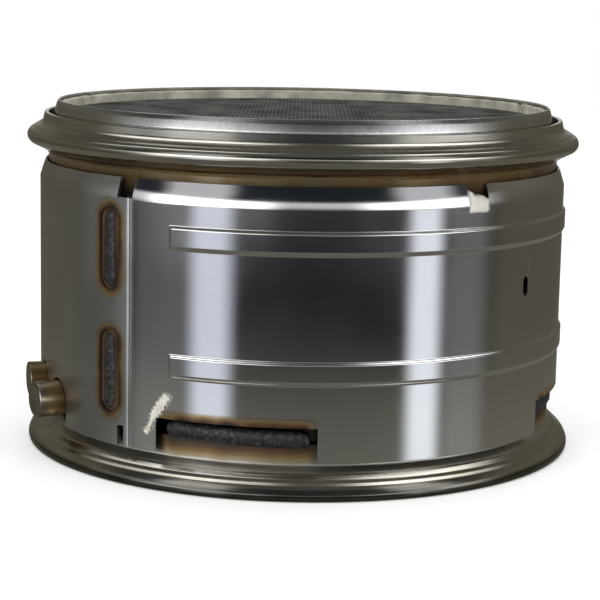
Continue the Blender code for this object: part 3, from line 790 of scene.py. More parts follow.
# Weld metal: a dark, dull oxide over the ripples, with fine brighter specks of spatter.
weld_metal, tree, shader = start_material("scaled_weld_metal")
place = add(tree, "ShaderNodeTexCoord").outputs["Object"]
scale = add(tree, "ShaderNodeTexNoise", {"Vector": place, "Scale": 420.0, "Detail": 4.0})
specks = add(tree, "ShaderNodeTexVoronoi", {"Vector": place, "Scale": 900.0})
skin_tone = add(
    tree,
    "ShaderNodeValToRGB",
    {"Fac": scale.outputs["Fac"]},
    [(0.34, "#2A2A2B"), (0.52, "#3A3A3C"), (0.64, "#4C4C4E"), (0.74, "#74726E")],
)
blur = add(
    tree, "ShaderNodeValToRGB", {"Fac": specks.outputs["Distance"]}, [(0.0, 0.32), (0.5, 0.48)]
)
bump = add(
    tree, "ShaderNodeBump", {"Strength": 0.4, "Distance": 0.05 * MM, "Height": scale.outputs["Fac"]}
)
tree.links.new(skin_tone.outputs["Color"], shader.inputs["Base Color"])
tree.links.new(blur.outputs["Color"], shader.inputs["Roughness"])
tree.links.new(bump.outputs[0], shader.inputs["Normal"])
shader.inputs["Metallic"].default_value = 0.6
for node_name in ("upper_flange_weld", "can_seam_weld"):
    slots = frame["nodes"][node_name].data.materials
    slots.clear()
    slots.append(weld_metal)

# STITCH WELDS
# Four heavy beads laid by machine over the top edge of the lower skirt, one in each window.
# Each pass of the torch leaves a low overlapping ripple.

STITCH_REACH = 14.35
STITCH_RADIUS = 162.2 * MM
STITCH_HEIGHT = 34.9 * MM
STITCH_DRIFT = 1.5 * MM
STITCH_STEPS = 60
tree, given, end = geometry_tree(
    "weld_bead",
    {"Width": 0.01, "Height": 0.002, "Ripple": 0.0014, "Blunt": 6.0, "Tilt": 0.3, "Seed": 1},
    weld_metal,
    takes_mesh=True,
)
path = add(tree, "GeometryNodeMeshToCurve", {"Mesh": given["Geometry"]})
beads = add(
    tree,
    "GeometryNodeResampleCurve",
    {"Curve": path.outputs[0], "Length": given["Ripple"]},
    mode="LENGTH",
)
# Each ripple is one flattened drop. Drops shrink over the last few steps at either end, which
# rounds the end of the bead, and each is a little wider or narrower than the last.
index = add(tree, "GeometryNodeInputIndex").outputs[0]
total = add(tree, "GeometryNodeAttributeDomainSize", {"Geometry": beads.outputs[0]}, component="CURVE")
last = add(tree, "ShaderNodeMath", {0: total.outputs["Point Count"], 1: 1.0}, operation="SUBTRACT")
left_over = add(tree, "ShaderNodeMath", {0: last.outputs[0], 1: index}, operation="SUBTRACT")
from_end = add(
    tree, "ShaderNodeMath", {0: index, 1: left_over.outputs[0]}, operation="MINIMUM"
).outputs[0]
short = add(
    tree,
    "ShaderNodeMapRange",
    {"Value": from_end, "From Max": given["Blunt"], "To Min": 0.74, "To Max": 1.0},
    interpolation_type="SMOOTHSTEP",
).outputs[0]
size = add(
    tree, "FunctionNodeRandomValue", {2: 0.94, 3: 1.05, "Seed": given["Seed"]}, data_type="FLOAT"
)
grown = add(tree, "ShaderNodeMath", {0: short, 1: size.outputs[1]}, operation="MULTIPLY").outputs[0]
drop_shape = add(tree, "GeometryNodeMeshUVSphere", {"Segments": 20, "Rings": 12, "Radius": 1.0})
turn = add(
    tree,
    "FunctionNodeAlignEulerToVector",
    {"Vector": add(tree, "GeometryNodeInputTangent").outputs[0]},
    axis="X",
)
position = add(tree, "GeometryNodeInputPosition").outputs[0]
outward = add(
    tree, "ShaderNodeVectorMath", {0: position, 1: (1.0, 1.0, 0.0)}, operation="MULTIPLY"
)
raised = add(
    tree,
    "FunctionNodeAlignEulerToVector",
    {"Rotation": turn.outputs[0], "Vector": outward.outputs[0]},
    axis="Z",
    pivot_axis="X",
)
stretch = add(tree, "ShaderNodeMath", {0: given["Ripple"], 1: 2.1}, operation="MULTIPLY").outputs[0]
half = add(tree, "ShaderNodeMath", {0: given["Width"], 1: 0.5}, operation="MULTIPLY").outputs[0]
wide = add(tree, "ShaderNodeMath", {0: half, 1: grown}, operation="MULTIPLY").outputs[0]
tall = add(tree, "ShaderNodeMath", {0: given["Height"], 1: grown}, operation="MULTIPLY").outputs[0]
proportions = add(tree, "ShaderNodeCombineXYZ", {"X": stretch, "Y": wide, "Z": tall}).outputs[0]
placed = add(
    tree,
    "GeometryNodeInstanceOnPoints",
    {
        "Points": beads.outputs[0],
        "Instance": drop_shape.outputs[0],
        "Rotation": raised.outputs[0],
        "Scale": proportions,
    },
)
lean = add(tree, "ShaderNodeCombineXYZ", {"Y": given["Tilt"]}).outputs[0]
tilted = add(
    tree, "GeometryNodeRotateInstances", {"Instances": placed.outputs[0], "Rotation": lean}
)
shaded = add(tree, "GeometryNodeSetShadeSmooth", {"Geometry": tilted.outputs[0]})
finish_tree(tree, given, end, shaded.outputs[0])
weld_tree = tree


def path_mesh(points, loop=False):
    mesh = bpy.data.meshes.new("path")
    edges = [(i, i + 1) for i in range(len(points) - 1)]
    if loop:
        edges.append((len(points) - 1, 0))
    mesh.from_pydata(points, edges, [])
    return mesh


for index in range(WINDOW_COUNT):
    start = WINDOW_AZIMUTH + WINDOW_STEP * index - STITCH_REACH
    # Each pass drifts down a little from its start to its end.
    route = [
        polar(
            start + i * 2 * STITCH_REACH / STITCH_STEPS,
            STITCH_RADIUS,
            STITCH_HEIGHT - STITCH_DRIFT * i / STITCH_STEPS,
        )
        for i in range(STITCH_STEPS + 1)
    ]
    bead = run_tree(
        f"stitch_bead_{index + 1}",
        weld_tree,
        {
            "Width": 10.6 * MM,
            "Height": 2.9 * MM,
            "Ripple": 1.5 * MM,
            "Blunt": 2.0,
            "Tilt": 0.22,
            "Seed": index,
        },
        path_mesh(route),
    )
    keep(f"stitch_bead_{index + 1}", bead, "weld_metal", f"stitch_weld_{index + 1}")

# INSULATION BLANKET
# Needled glass-fibre blanket wrapped round the can before the jacket closes over it. It shows
# only in the notches, as a soft pale surface, and is pressed back behind the drain slot, where
# it is painted near black as the shade inside the slot.

BLANKET_INNER = 159.8 * MM
BLANKET_OUTER = 167.1 * MM
BLANKET_LOW = 58.0 * MM
BLANKET_HIGH = 166.6 * MM
BLANKET_SPLIT = 155.0
BLANKET_SPLIT_HALF = 1.6
DRAIN_AZIMUTH = 53.5
DRAIN_HEIGHT = 116.4 * MM
DRAIN_HOLLOW = 6.4 * MM
BLANKET_STEPS = 55
BLANKET_COLUMNS = 300

# Glass-fibre blanket: white, dry and fibrous, a little yellowed by handling.
glass_fibre, tree, shader = start_material("needled_glass_fibre")
place = add(tree, "ShaderNodeTexCoord").outputs["Object"]
strands = add(
    tree, "ShaderNodeTexWave", {"Vector": place, "Scale": 260.0, "Distortion": 9.0, "Detail": 3.0}
)
soil = add(tree, "ShaderNodeTexNoise", {"Vector": place, "Scale": 90.0, "Detail": 4.0})
tone = add(
    tree,
    "ShaderNodeValToRGB",
    {"Fac": soil.outputs["Fac"]},
    [(0.3, "#CFC9BA"), (0.6, "#E9E6DE"), (0.8, "#F4F2EE")],
)
bump = add(
    tree, "ShaderNodeBump", {"Strength": 0.7, "Distance": 0.3 * MM, "Height": strands.outputs["Fac"]}
)
# Painted shade: where the mesh asks for it, the fibre turns near black and loses its sheen.
shade_and_grime = add(tree, "ShaderNodeAttribute", attribute_name="shade_and_grime").outputs["Fac"]
fibre_with_painted_shade = add(
    tree,
    "ShaderNodeMix",
    {0: shade_and_grime, 6: tone.outputs["Color"], 7: colour("#12110E")},
    data_type="RGBA",
).outputs[2]
clean = add(tree, "ShaderNodeMapRange", {"Value": shade_and_grime, "To Min": 0.2, "To Max": 0.0}).outputs[0]
tree.links.new(fibre_with_painted_shade, shader.inputs["Base Color"])
tree.links.new(bump.outputs[0], shader.inputs["Normal"])
tree.links.new(clean, shader.inputs["Sheen Weight"])
shader.inputs["Roughness"].default_value = 0.9


def blanket_section(azimuth, row):
    """A loop of points: down the outer face with soft hollows, and up the inner face."""
    if row > BLANKET_STEPS:
        low_end = row == BLANKET_STEPS + 1
        return polar(azimuth, BLANKET_INNER, BLANKET_LOW if low_end else BLANKET_HIGH)
    t = row / BLANKET_STEPS
    height = BLANKET_HIGH + (BLANKET_LOW - BLANKET_HIGH) * t
    spot = polar(azimuth, BLANKET_OUTER, height)
    soft = noise.noise(spot * 60.0)
    inset = 0.35 * MM + 0.45 * MM * abs(soft) + (0.9 * MM if row in (0, BLANKET_STEPS) else 0.0)
    from_drain = (spot - polar(DRAIN_AZIMUTH, BLANKET_OUTER, DRAIN_HEIGHT)).length
    hollow = DRAIN_HOLLOW * blend(from_drain, 13.0 * MM, 9.0 * MM)
    return polar(azimuth, BLANKET_OUTER - max(inset, hollow), height)


first = BLANKET_SPLIT + BLANKET_SPLIT_HALF
sweep = 360 - 2 * BLANKET_SPLIT_HALF
wrap = ring_of_rows(
    "insulation_wrap",
    [first + sweep * i / BLANKET_COLUMNS for i in range(BLANKET_COLUMNS + 1)],
    BLANKET_STEPS + 3,
    blanket_section,
    glass_fibre,
    closed=False,
)
# The fibre left behind the drain slot is painted near black: painted shade for the dark inside of the
# slot.
drain = polar(DRAIN_AZIMUTH, BLANKET_OUTER - DRAIN_HOLLOW, DRAIN_HEIGHT)
paint(wrap, "shade_and_grime", lambda point: blend((point - drain).length, 15.0 * MM, 11.0 * MM))
keep("insulation_wrap", wrap, "blanket_fibre", "insulation_blanket")

# JACKET
# Bright stainless sheet, 0.8 mm thick, rolled round the insulation. Its beads are rolled in
# before it is lapped over itself, pulled tight and plug-welded through two slots.

JACKET_RADIUS = 168.7 * MM
JACKET_SHEET = 0.8 * MM
JACKET_TOP = 180.6 * MM
JACKET_BASE = 21.3 * MM
SEAM_EDGE = -36.1
LAP = math.degrees(36.5 * MM / JACKET_RADIUS)
JOGGLE = math.degrees(19.2 * MM / JACKET_RADIUS)
LAP_RISE = 1.3 * MM
EDGE_ROLL = 1.8 * MM
EDGE_ROLL_DROP = 0.45 * MM
CREASE_DROP = 4.7 * MM
CREASE_LEAN = 1.6 * MM
TAPER_DROP = 10.4 * MM
TAPER_LEAN = 1.8 * MM
BEAD_TOPS = (155.7 * MM, 80.6 * MM)
BEAD_WIDTH = 14.5 * MM
BEAD_RISE = 1.5 * MM
BEAD_UPPER_BEVEL = 1.7 * MM
BEAD_LOWER_BEVEL = 2.6 * MM
BEAD_FROM = -26.6
BEAD_TO = 240.0
BEAD_RUN_OUT = 0.6
PLUG_AZIMUTH = -41.3
PLUG_HEIGHTS = (138.4 * MM, 65.7 * MM)
PLUG_WIDTH = 15.2 * MM
PLUG_LENGTH = 49.6 * MM
WINDOW_TOP = 41.9 * MM
TUFT_AZIMUTH = 37.8
OFF_SHEET = 15.0 * MM


def bead_rise(height):
    for top in BEAD_TOPS:
        foot = top - BEAD_WIDTH
        if foot < height < top:
            lower = blend(height, foot, foot + BEAD_LOWER_BEVEL)
            return BEAD_RISE * min(lower, blend(height, top, top - BEAD_UPPER_BEVEL))
    return 0.0


def draw_in(height):
    """How far the sheet leans in under the upper flange."""
    below = JACKET_TOP - height
    if below > TAPER_DROP:
        return 0.0
    if below > CREASE_DROP:
        return TAPER_LEAN * (TAPER_DROP - below) / (TAPER_DROP - CREASE_DROP)
    return TAPER_LEAN + CREASE_LEAN * (CREASE_DROP - below) / CREASE_DROP


def jacket_radius(azimuth, height):
    """Radius of the sheet's outer face, with its lap, beads, top crease and slight buckles."""
    over = SEAM_EDGE + 360 - LAP
    lift = LAP_RISE * blend(azimuth, over - 0.5 - JOGGLE, over - 0.5)
    to_edge = math.radians(SEAM_EDGE + 360 - azimuth) * JACKET_RADIUS
    roll = EDGE_ROLL_DROP * max(0.0, 1 - to_edge / EDGE_ROLL) ** 2
    on_bead = min(
        blend(azimuth, BEAD_FROM, BEAD_FROM + BEAD_RUN_OUT),
        blend(azimuth, BEAD_TO, BEAD_TO - BEAD_RUN_OUT),
    )
    spot = polar(azimuth, JACKET_RADIUS, height)
    buckle = noise.noise(Vector((spot.x * 9, spot.y * 9, height * 5))) * 0.12 * MM
    rise = bead_rise(height) * on_bead - draw_in(height) + buckle
    return JACKET_RADIUS + lift - roll + rise


# Rows and columns of the sheet, set closer together at each fold and beside the plug welds.
heights = {JACKET_BASE, JACKET_TOP, JACKET_TOP - CREASE_DROP, JACKET_TOP - TAPER_DROP}
heights |= {JACKET_TOP - CREASE_DROP + d * MM for d in (-0.5, 0.5)}
for top in BEAD_TOPS:
    for share in (-0.1, 0, 0.2, 0.4, 0.6, 0.8, 1.0, 1.2):
        heights.add(top - BEAD_UPPER_BEVEL * share)
        heights.add(top - BEAD_WIDTH + BEAD_LOWER_BEVEL * share)
level = JACKET_BASE
while level < JACKET_TOP:
    if min(abs(level - other) for other in heights) > 1.6 * MM:
        heights.add(level)
    level += 4.4 * MM
# Closer rows and columns where the tint of the welds fades out.
tinted = [(42.0, 51.0, 1.0)] + [(z, z + 11.0, 1.6) for z in (109.0, 85.0, 158.0)]
for low, high, gap in tinted:
    heights |= {(low + gap * i) * MM for i in range(int((high - low) / gap) + 1)}
heights = sorted(heights, reverse=True)
columns = {SEAM_EDGE - LAP}
columns |= {SEAM_EDGE + 360 - t for t in (0.0, 0.1, 0.2, 0.32, 0.45, 0.6, 0.8)}
for edge, way in ((BEAD_FROM, 1), (BEAD_TO, -1)):
    columns |= {edge + way * BEAD_RUN_OUT * t for t in (-0.2, 0.0, 0.25, 0.5, 0.75, 1.0, 1.3)}
columns |= {PLUG_AZIMUTH + 360 + way * (2.4 + 0.3 * i) for way in (-1, 1) for i in range(9)}
azimuth = SEAM_EDGE - LAP
while azimuth < SEAM_EDGE + 360:
    if min(abs(azimuth - other) for other in columns) > 0.3:
        columns.add(azimuth)
    azimuth += 0.8
columns = sorted(columns)
points = [polar(a, jacket_radius(a, h), h) for a in columns for h in heights]
rows = len(heights)
quads = [
    (i * rows + j, i * rows + j + 1, (i + 1) * rows + j + 1, (i + 1) * rows + j)
    for i in range(len(columns) - 1)
    for j in range(rows - 1)
]
sheet = bpy.data.meshes.new("jacket_sheet")
sheet.from_pydata(points, [], quads)
stock = bpy.data.objects.new("jacket_stock", sheet)
bpy.context.scene.collection.objects.link(stock)
wall = stock.modifiers.new("sheet", "SOLIDIFY")
wall.thickness = JACKET_SHEET
wall.offset = -1
wall.use_even_offset = True
graph = bpy.context.evaluated_depsgraph_get()
sheet = bpy.data.meshes.new_from_object(stock.evaluated_get(graph))
bpy.data.objects.remove(stock, do_unlink=True)
sheet.name = "jacket_sheet"


def box_outline(width, low, high):
    return [(-width / 2, low), (width / 2, low), (width / 2, high), (-width / 2, high)]


def slot_outline(width, length, steps=12):
    """An upright slot with round ends, about the origin."""
    points = []
    for way, start in ((1, 0), (-1, 180)):
        for step in range(steps + 1):
            angle = math.radians(start + 180 * step / steps)
            rise = way * (length - width) / 2 + width / 2 * math.sin(angle)
            points.append((width / 2 * math.cos(angle), rise))
    return points


def arch_outline(width, low, high, steps=16):
    """An opening that runs off the sheet below and has a round top."""
    points = [(-width / 2, low), (width / 2, low)]
    for step in range(steps + 1):
        angle = math.pi * step / steps
        points.append((width / 2 * math.cos(angle), high - width / 2 * (1 - math.sin(angle))))
    return points


near_side, far_side, slot_floor = 158.5 * MM, 180.0 * MM, 168.97 * MM
openings = [
    cutter(
        "window",
        box_outline(97.0 * MM, OFF_SHEET, WINDOW_TOP),
        WINDOW_AZIMUTH + WINDOW_STEP * i,
        150.0 * MM,
        far_side,
    )
    for i in range(WINDOW_COUNT)
]
plug_slot = slot_outline(PLUG_WIDTH, PLUG_LENGTH)
scratch = [(0.9, 20.2), (1.25, 20.2), (-1.2, 6.4), (-1.5, 6.4)]
scratch = [(x * MM, y * MM) for x, y in scratch]
for name, outline, azimuth, inner, height in (
    ("seam_notch", box_outline(10.8 * MM, 169.3 * MM, 190.0 * MM), -37.35, near_side, 0.0),
    ("foot_notch", box_outline(4.9 * MM, OFF_SHEET, 33.5 * MM), -38.15, near_side, 0.0),
    (
        "tuft_notch",
        box_outline(15.9 * MM, 164.0 * MM, 190.0 * MM),
        TUFT_AZIMUTH,
        near_side,
        0.0,
    ),
    ("drain_slot", slot_outline(5.3 * MM, 11.8 * MM), DRAIN_AZIMUTH, near_side, DRAIN_HEIGHT),
    ("scratch", scratch, 54.85, 168.4 * MM, DRAIN_HEIGHT),
    ("plug_slot", plug_slot, PLUG_AZIMUTH, slot_floor, PLUG_HEIGHTS[0]),
    ("plug_slot", plug_slot, PLUG_AZIMUTH, slot_floor, PLUG_HEIGHTS[1]),
):
    openings.append(cutter(name, outline, azimuth, inner, far_side, height))
for azimuth, height, radius in LUGS.values():
    reach = radius + 1.4 * MM
    arch = arch_outline(2 * reach, OFF_SHEET, height + reach)
    openings.append(cutter("lug_arch", arch, azimuth, near_side, far_side))
sheet = subtract(sheet, openings)


def jacket_heat(point):
    """Tint round the slots of the plug welds and above the windows."""
    azimuth = azimuth_of(point)
    across = math.radians(azimuth - PLUG_AZIMUTH) * JACKET_RADIUS
    value = 0.0
    for height in PLUG_HEIGHTS:
        up = max(0.0, abs(point.z - height) - (PLUG_LENGTH - PLUG_WIDTH) / 2)
        away = math.hypot(across, up) - PLUG_WIDTH / 2
        value = max(value, 0.85 - max(away, 0.0) / (6.0 * MM))
    rise = max(0.0, point.z - WINDOW_TOP)
    over_weld = blend(from_window(azimuth), 0.0, -2.5)
    value = max(value, (0.72 - rise / (8.0 * MM)) * over_weld)
    if value <= 0:
        return 0.0
    return min(max(value * (1 + 0.5 * noise.noise(point * 110.0)), 0.0), 1.0)


def jacket_grime(point):
    """Handling has left a thin olive film behind the seam, in clouds."""
    azimuth = azimuth_of(point)
    film = 0.16 + 0.16 * blend(azimuth, -62.0, -46.0) + 0.12 * noise.noise(point * 30.0)
    return film * blend(azimuth, SEAM_EDGE + 0.6, SEAM_EDGE - 0.2)


def jacket_dull(point):
    """The sheet is duller behind the seam and round the back, where it has been handled most."""
    azimuth = azimuth_of(point)
    return max(blend(azimuth, SEAM_EDGE + 1.2, SEAM_EDGE - 0.2), blend(azimuth, 100.0, 140.0))


# Bright-rolled stainless sheet: all but a mirror, with a grain too fine to see one line of.
jacket_steel = steel(
    "bright_rolled_stainless", ("#D9D9D9", "#DEDEDE"), (0.09, 0.13), 0.02, 2600.0, 0.0001 * MM
)
smooth(sheet, 25)
sheet.materials.clear()
sheet.materials.append(jacket_steel)
paint(sheet, "scorch", jacket_heat)
paint(sheet, "dull", jacket_dull)
paint(sheet, "shade_and_grime", jacket_grime)
keep("jacket_sheet", sheet, "jacket_steel", "jacket")

# SEAM WELDS
# Two plug welds laid down the slots of the lap by hand. The metal has wetted the slot from
# side to side and stands in a dark rippled bead along its middle.

POOL_EDGE = 169.15 * MM
POOL_CROWN = 0.55 * MM
POOL_WIDTH = PLUG_WIDTH - 0.1 * MM


def pool(name, height, material):
    """A shallow dome that fills a plug slot from wall to wall, on a flat back."""
    bm = bmesh.new()
    out = polar(PLUG_AZIMUTH, 1.0, 0.0)
    up = Vector((0.0, 0.0, 1.0))
    across = up.cross(out)
    loops = []
    for share in (1.0, 0.97, 0.85, 0.7, 0.5, 0.3):
        outline = slot_outline(POOL_WIDTH * share, PLUG_LENGTH - POOL_WIDTH * (1 - share))
        crown = 0.0 if share == 1.0 else POOL_CROWN * (1 - share**2) ** 0.5
        loops.append(
            [
                bm.verts.new(out * (POOL_EDGE + crown) + across * x + up * (y + height))
                for x, y in outline
            ]
        )
    count = len(loops[0])
    back = [bm.verts.new(v.co - out * 0.15 * MM) for v in loops[0]]
    for near, far in zip([back] + loops, loops):
        for i in range(count):
            j = (i + 1) % count
            bm.faces.new((near[i], near[j], far[j], far[i]))
    bm.faces.new(loops[-1])
    bm.faces.new(reversed(back))
    return mesh_from(name, bm, material, 60)


def pool_heat(point):
    return min(max(0.66 + 0.3 * noise.noise(point * 160.0), 0.0), 1.0)


for place_name, height in zip(("upper", "lower"), PLUG_HEIGHTS):
    filled = pool(f"seam_pool_{place_name}", height, jacket_steel)
    paint(filled, "scorch", pool_heat)
    keep(f"seam_pool_{place_name}", filled, "jacket_steel")
    half_run = (PLUG_LENGTH - 2 * 4.6 * MM) / 2
    route = [
        polar(PLUG_AZIMUTH, 169.3 * MM, height - half_run + 2 * half_run * i / 40) for i in range(41)
    ]
    bead = run_tree(
        f"seam_bead_{place_name}",
        weld_tree,
        {
            "Width": 9.4 * MM,
            "Height": 1.7 * MM,
            "Ripple": 1.2 * MM,
            "Blunt": 3.0,
            "Tilt": 0.2,
            "Seed": 11,
        },
        path_mesh(route),
    )
    keep(f"seam_bead_{place_name}", bead, "weld_metal", f"seam_weld_{place_name}")

# LOCATING LUGS
# A pin and a boss turned from bar, faced at the end and welded to the can. They reach out
# through arches in the jacket and set the filter's angle in its housing.

LUG_SEAT = 160.0 * MM
LUG_ENDS = {"pin": (24.2 * MM, 0.9 * MM, 0.78), "boss": (19.0 * MM, 0.5 * MM, 0.42)}

# Turned bar: a warm grey, browned by heat along its side, with a fresh-faced end.
lug_steel = steel(
    "turned_bar_steel", ("#8F8A7F", "#B9B4A9"), (0.26, 0.38), 0.05, 2200.0, 0.01 * MM
)
for name, (azimuth, height, radius) in LUGS.items():
    length, chamfer, burnt = LUG_ENDS[name]
    # The turned end keeps the tool's shallow rings, and its edge is broken all round.
    rings = (0.12, 0.16, 0.3, 0.34, 0.5, 0.54, 0.68, 0.72)
    end_face = [(radius * t, length - 0.08 * MM * (1 - i % 2)) for i, t in enumerate(rings)]
    lug = lathe(
        f"locating_{name}_bar",
        end_face
        + [
            (radius - chamfer - 0.15 * MM, length),
            (radius - chamfer + 0.08 * MM, length - 0.06 * MM),
            (radius - 0.06 * MM, length - chamfer + 0.08 * MM),
            (radius, length - chamfer - 0.15 * MM),
            (radius, 0.0),
            (0.0, 0.0),
            (0.0, length - 0.08 * MM),
        ],
        lug_steel,
        steps=96,
    )
    out = polar(azimuth, 1.0, 0.0)
    up = Vector((0.0, 0.0, 1.0))
    turn = Matrix((up.cross(out), up, out)).transposed().to_4x4()
    place = Matrix.Translation(polar(azimuth, LUG_SEAT, height)) @ turn
    lug.transform(place)
    face_at = (place @ Vector((0.0, 0.0, length - chamfer * 1.2))).dot(out)

    def lug_heat(point):
        """Tint along the bar's side, with a painted highlight that lightens it towards its top, and
        none on the turned end.
        """
        if point.dot(out) > face_at:
            return 0.03
        # Painted highlight: less tint towards the top of the bar, as if it caught the light from
        # above.
        sky = 0.3 * blend(point.z, height + radius * 0.55, height + radius)
        patch = 0.12 * noise.noise(point * 150.0)
        return min(max(burnt - sky + patch, 0.1), 1.0)

    paint(lug, "scorch", lug_heat)
    keep(f"locating_{name}_bar", lug, "lug_steel", f"locating_{name}")
    collar = [
        polar(azimuth, LUG_SEAT + 0.9 * MM, height)
        + (up.cross(out) * math.cos(math.tau * i / 60) + up * math.sin(math.tau * i / 60))
        * (radius + 1.5 * MM)
        for i in range(60)
    ]
    bead = run_tree(
        f"locating_{name}_bead",
        weld_tree,
        {
            "Width": 2.4 * MM,
            "Height": 1.6 * MM,
            "Ripple": 1.3 * MM,
            "Blunt": 0.5,
            "Tilt": 0.2,
            "Seed": 5,
        },
        path_mesh(collar, loop=True),
    )
    keep(f"locating_{name}_bead", bead, "weld_metal", f"locating_{name}_weld")

# INSULATION TUFT AND TAIL
# Where the jacket is notched the blanket's woven tape bulges out, and at the front window its
# cut end has frayed into a loose ribbon of glass strands.

tree, given, end = geometry_tree(
    "loose_strands",
    {"Radius": 0.0001, "Spacing": 0.0005, "Length": 0.004, "Seed": 3},
    glass_fibre,
    takes_mesh=True,
)
spread = add(
    tree,
    "GeometryNodeDistributePointsOnFaces",
    {
        "Mesh": given["Geometry"],
        "Distance Min": given["Spacing"],
        "Density Max": 4000000.0,
        "Seed": given["Seed"],
    },
    distribute_method="POISSON",
)
line = add(
    tree,
    "GeometryNodeCurveQuadraticBezier",
    {"Resolution": 5, "Start": (0.0, 0.0, 0.0), "Middle": (0.35, 0.1, 0.22), "End": (1.0, -0.1, 0.1)},
)
lay = add(
    tree,
    "FunctionNodeRandomValue",
    {0: (-0.25, -0.2, -1.0), 1: (0.25, 0.2, 1.0), "Seed": given["Seed"]},
    data_type="FLOAT_VECTOR",
)
twist = add(
    tree,
    "FunctionNodeRotateEuler",
    {"Rotation": spread.outputs["Rotation"], "Rotate By": lay.outputs[0]},
    space="LOCAL",
)
laid = add(
    tree,
    "GeometryNodeInstanceOnPoints",
    {
        "Points": spread.outputs["Points"],
        "Instance": line.outputs[0],
        "Rotation": twist.outputs[0],
        "Scale": given["Length"],
    },
)
loose = add(tree, "GeometryNodeRealizeInstances", {"Geometry": laid.outputs[0]})
section = add(tree, "GeometryNodeCurvePrimitiveCircle", {"Resolution": 4, "Radius": given["Radius"]})
tubes = add(
    tree,
    "GeometryNodeCurveToMesh",
    {"Curve": loose.outputs[0], "Profile Curve": section.outputs[0], "Fill Caps": True},
)
joined = add(tree, "GeometryNodeJoinGeometry", {0: tubes.outputs[0]})
tree.links.new(given["Geometry"], joined.inputs[0])
finish_tree(tree, given, end, joined.outputs[0])
strand_tree = tree

TUFT_HALF = (7.35 * MM, 4.7 * MM)
TUFT_MIDDLE = 169.15 * MM
TUFT_BACK = 167.9 * MM
TUFT_RISE = 3.3 * MM
TUFT_STEPS = 14


def bulge(x, y):
    """Height of the tuft's woven face over its notch, from 0 at the edge to 1."""
    edge = (1 - abs(x) ** 4) * (1 - abs(y) ** 4)
    weave = 0.12 * math.sin(x * 22) * math.sin(y * 16)
    lump = 0.25 * noise.noise(Vector((x * 1.7, y * 1.9, 3.1)))
    return max(0.0, edge * (0.78 + weave + lump))


def tuft_lift(x, y):
    """The upper edge slopes down to the right, with a wisp pulled up at its left end."""
    if y <= 0:
        return 0.0
    return y * (3.0 * MM * blend(x, -0.45, -1.0) - 2.2 * MM * blend(x, 0.1, 1.0))


out = polar(TUFT_AZIMUTH, 1.0, 0.0)
across = Vector((0.0, 0.0, 1.0)).cross(out)
shares = [i / TUFT_STEPS for i in range(-TUFT_STEPS, TUFT_STEPS + 1)]
bm = bmesh.new()
face = [
    [
        bm.verts.new(
            polar(TUFT_AZIMUTH, TUFT_BACK, TUFT_MIDDLE)
            + across * x * TUFT_HALF[0]
            + Vector((0, 0, y * TUFT_HALF[1] + tuft_lift(x, y)))
            + out * TUFT_RISE * bulge(x, y)
        )
        for y in shares
    ]
    for x in shares
]
last = 2 * TUFT_STEPS
for i in range(last):
    for j in range(last):
        bm.faces.new((face[i][j], face[i + 1][j], face[i + 1][j + 1], face[i][j + 1]))
edge_loop = [face[i][0] for i in range(last)] + [face[last][j] for j in range(last)]
edge_loop += [face[i][last] for i in range(last, 0, -1)] + [face[0][j] for j in range(last, 0, -1)]
back = [bm.verts.new(v.co - out * 2.2 * MM) for v in edge_loop]
for i in range(len(edge_loop)):
    j = (i + 1) % len(edge_loop)
    bm.faces.new((edge_loop[j], edge_loop[i], back[i], back[j]))
bm.faces.new(reversed(back))
tuft = run_tree(
    "insulation_tuft_weave",
    strand_tree,
    {"Radius": 0.09 * MM, "Spacing": 0.75 * MM, "Length": 2.4 * MM, "Seed": 4},
    mesh_from("tuft_base", bm, None, 60),
)
keep("insulation_tuft_weave", tuft, "blanket_fibre", "insulation_tuft")

# Along the tail: azimuth, height and half width in millimetres.
TAIL = (
    (-26.6, 55.8, 2.2),
    (-27.4, 52.4, 2.6),
    (-28.3, 48.5, 2.7),
    (-29.1, 45.3, 2.6),
    (-29.6, 43.3, 2.1),
    (-29.9, 41.2, 1.2),
    (-30.3, 38.8, 0.9),
    (-30.7, 36.2, 1.0),
    (-31.1, 34.0, 1.6),
    (-31.6, 32.6, 1.3),
)
TAIL_SIDES = 12
TAIL_STEPS = 70


def tail_ring(bm, place):
    """A loop of points round the tail at this share of its length, ribbed across like a cord."""
    step = min(int(place * (len(TAIL) - 1)), len(TAIL) - 2)
    t = place * (len(TAIL) - 1) - step
    azimuth, height, width = (a + (b - a) * t for a, b in zip(TAIL[step], TAIL[step + 1]))
    near, far = TAIL[step], TAIL[step + 1]
    run = polar(far[0], 0.17, far[1] * MM) - polar(near[0], 0.17, near[1] * MM)
    out = polar(azimuth, 1.0, 0.0)
    side = out.cross(run).normalized()
    centre = polar(azimuth, JACKET_RADIUS + 1.5 * MM, height * MM)
    rib = 1 + 0.18 * math.sin(place * 70)
    ring = []
    for k in range(TAIL_SIDES):
        angle = math.tau * k / TAIL_SIDES
        rough = rib + 0.18 * noise.noise(Vector((place * 9, k * 0.9, 0.5)))
        across = side * math.cos(angle) * width * MM
        ring.append(bm.verts.new(centre + (across + out * math.sin(angle) * 0.9 * MM) * rough))
    return ring


bm = bmesh.new()
rings = [tail_ring(bm, i / TAIL_STEPS) for i in range(TAIL_STEPS + 1)]
for near, far in zip(rings, rings[1:]):
    for k in range(TAIL_SIDES):
        m = (k + 1) % TAIL_SIDES
        bm.faces.new((near[k], near[m], far[m], far[k]))
bm.faces.new(rings[0])
bm.faces.new(reversed(rings[-1]))
tail = run_tree(
    "insulation_tail_strands",
    strand_tree,
    {"Radius": 0.08 * MM, "Spacing": 0.7 * MM, "Length": 2.0 * MM, "Seed": 9},
    mesh_from("tail_base", bm, None, 60),
)
keep("insulation_tail_strands", tail, "blanket_fibre", "insulation_tail")

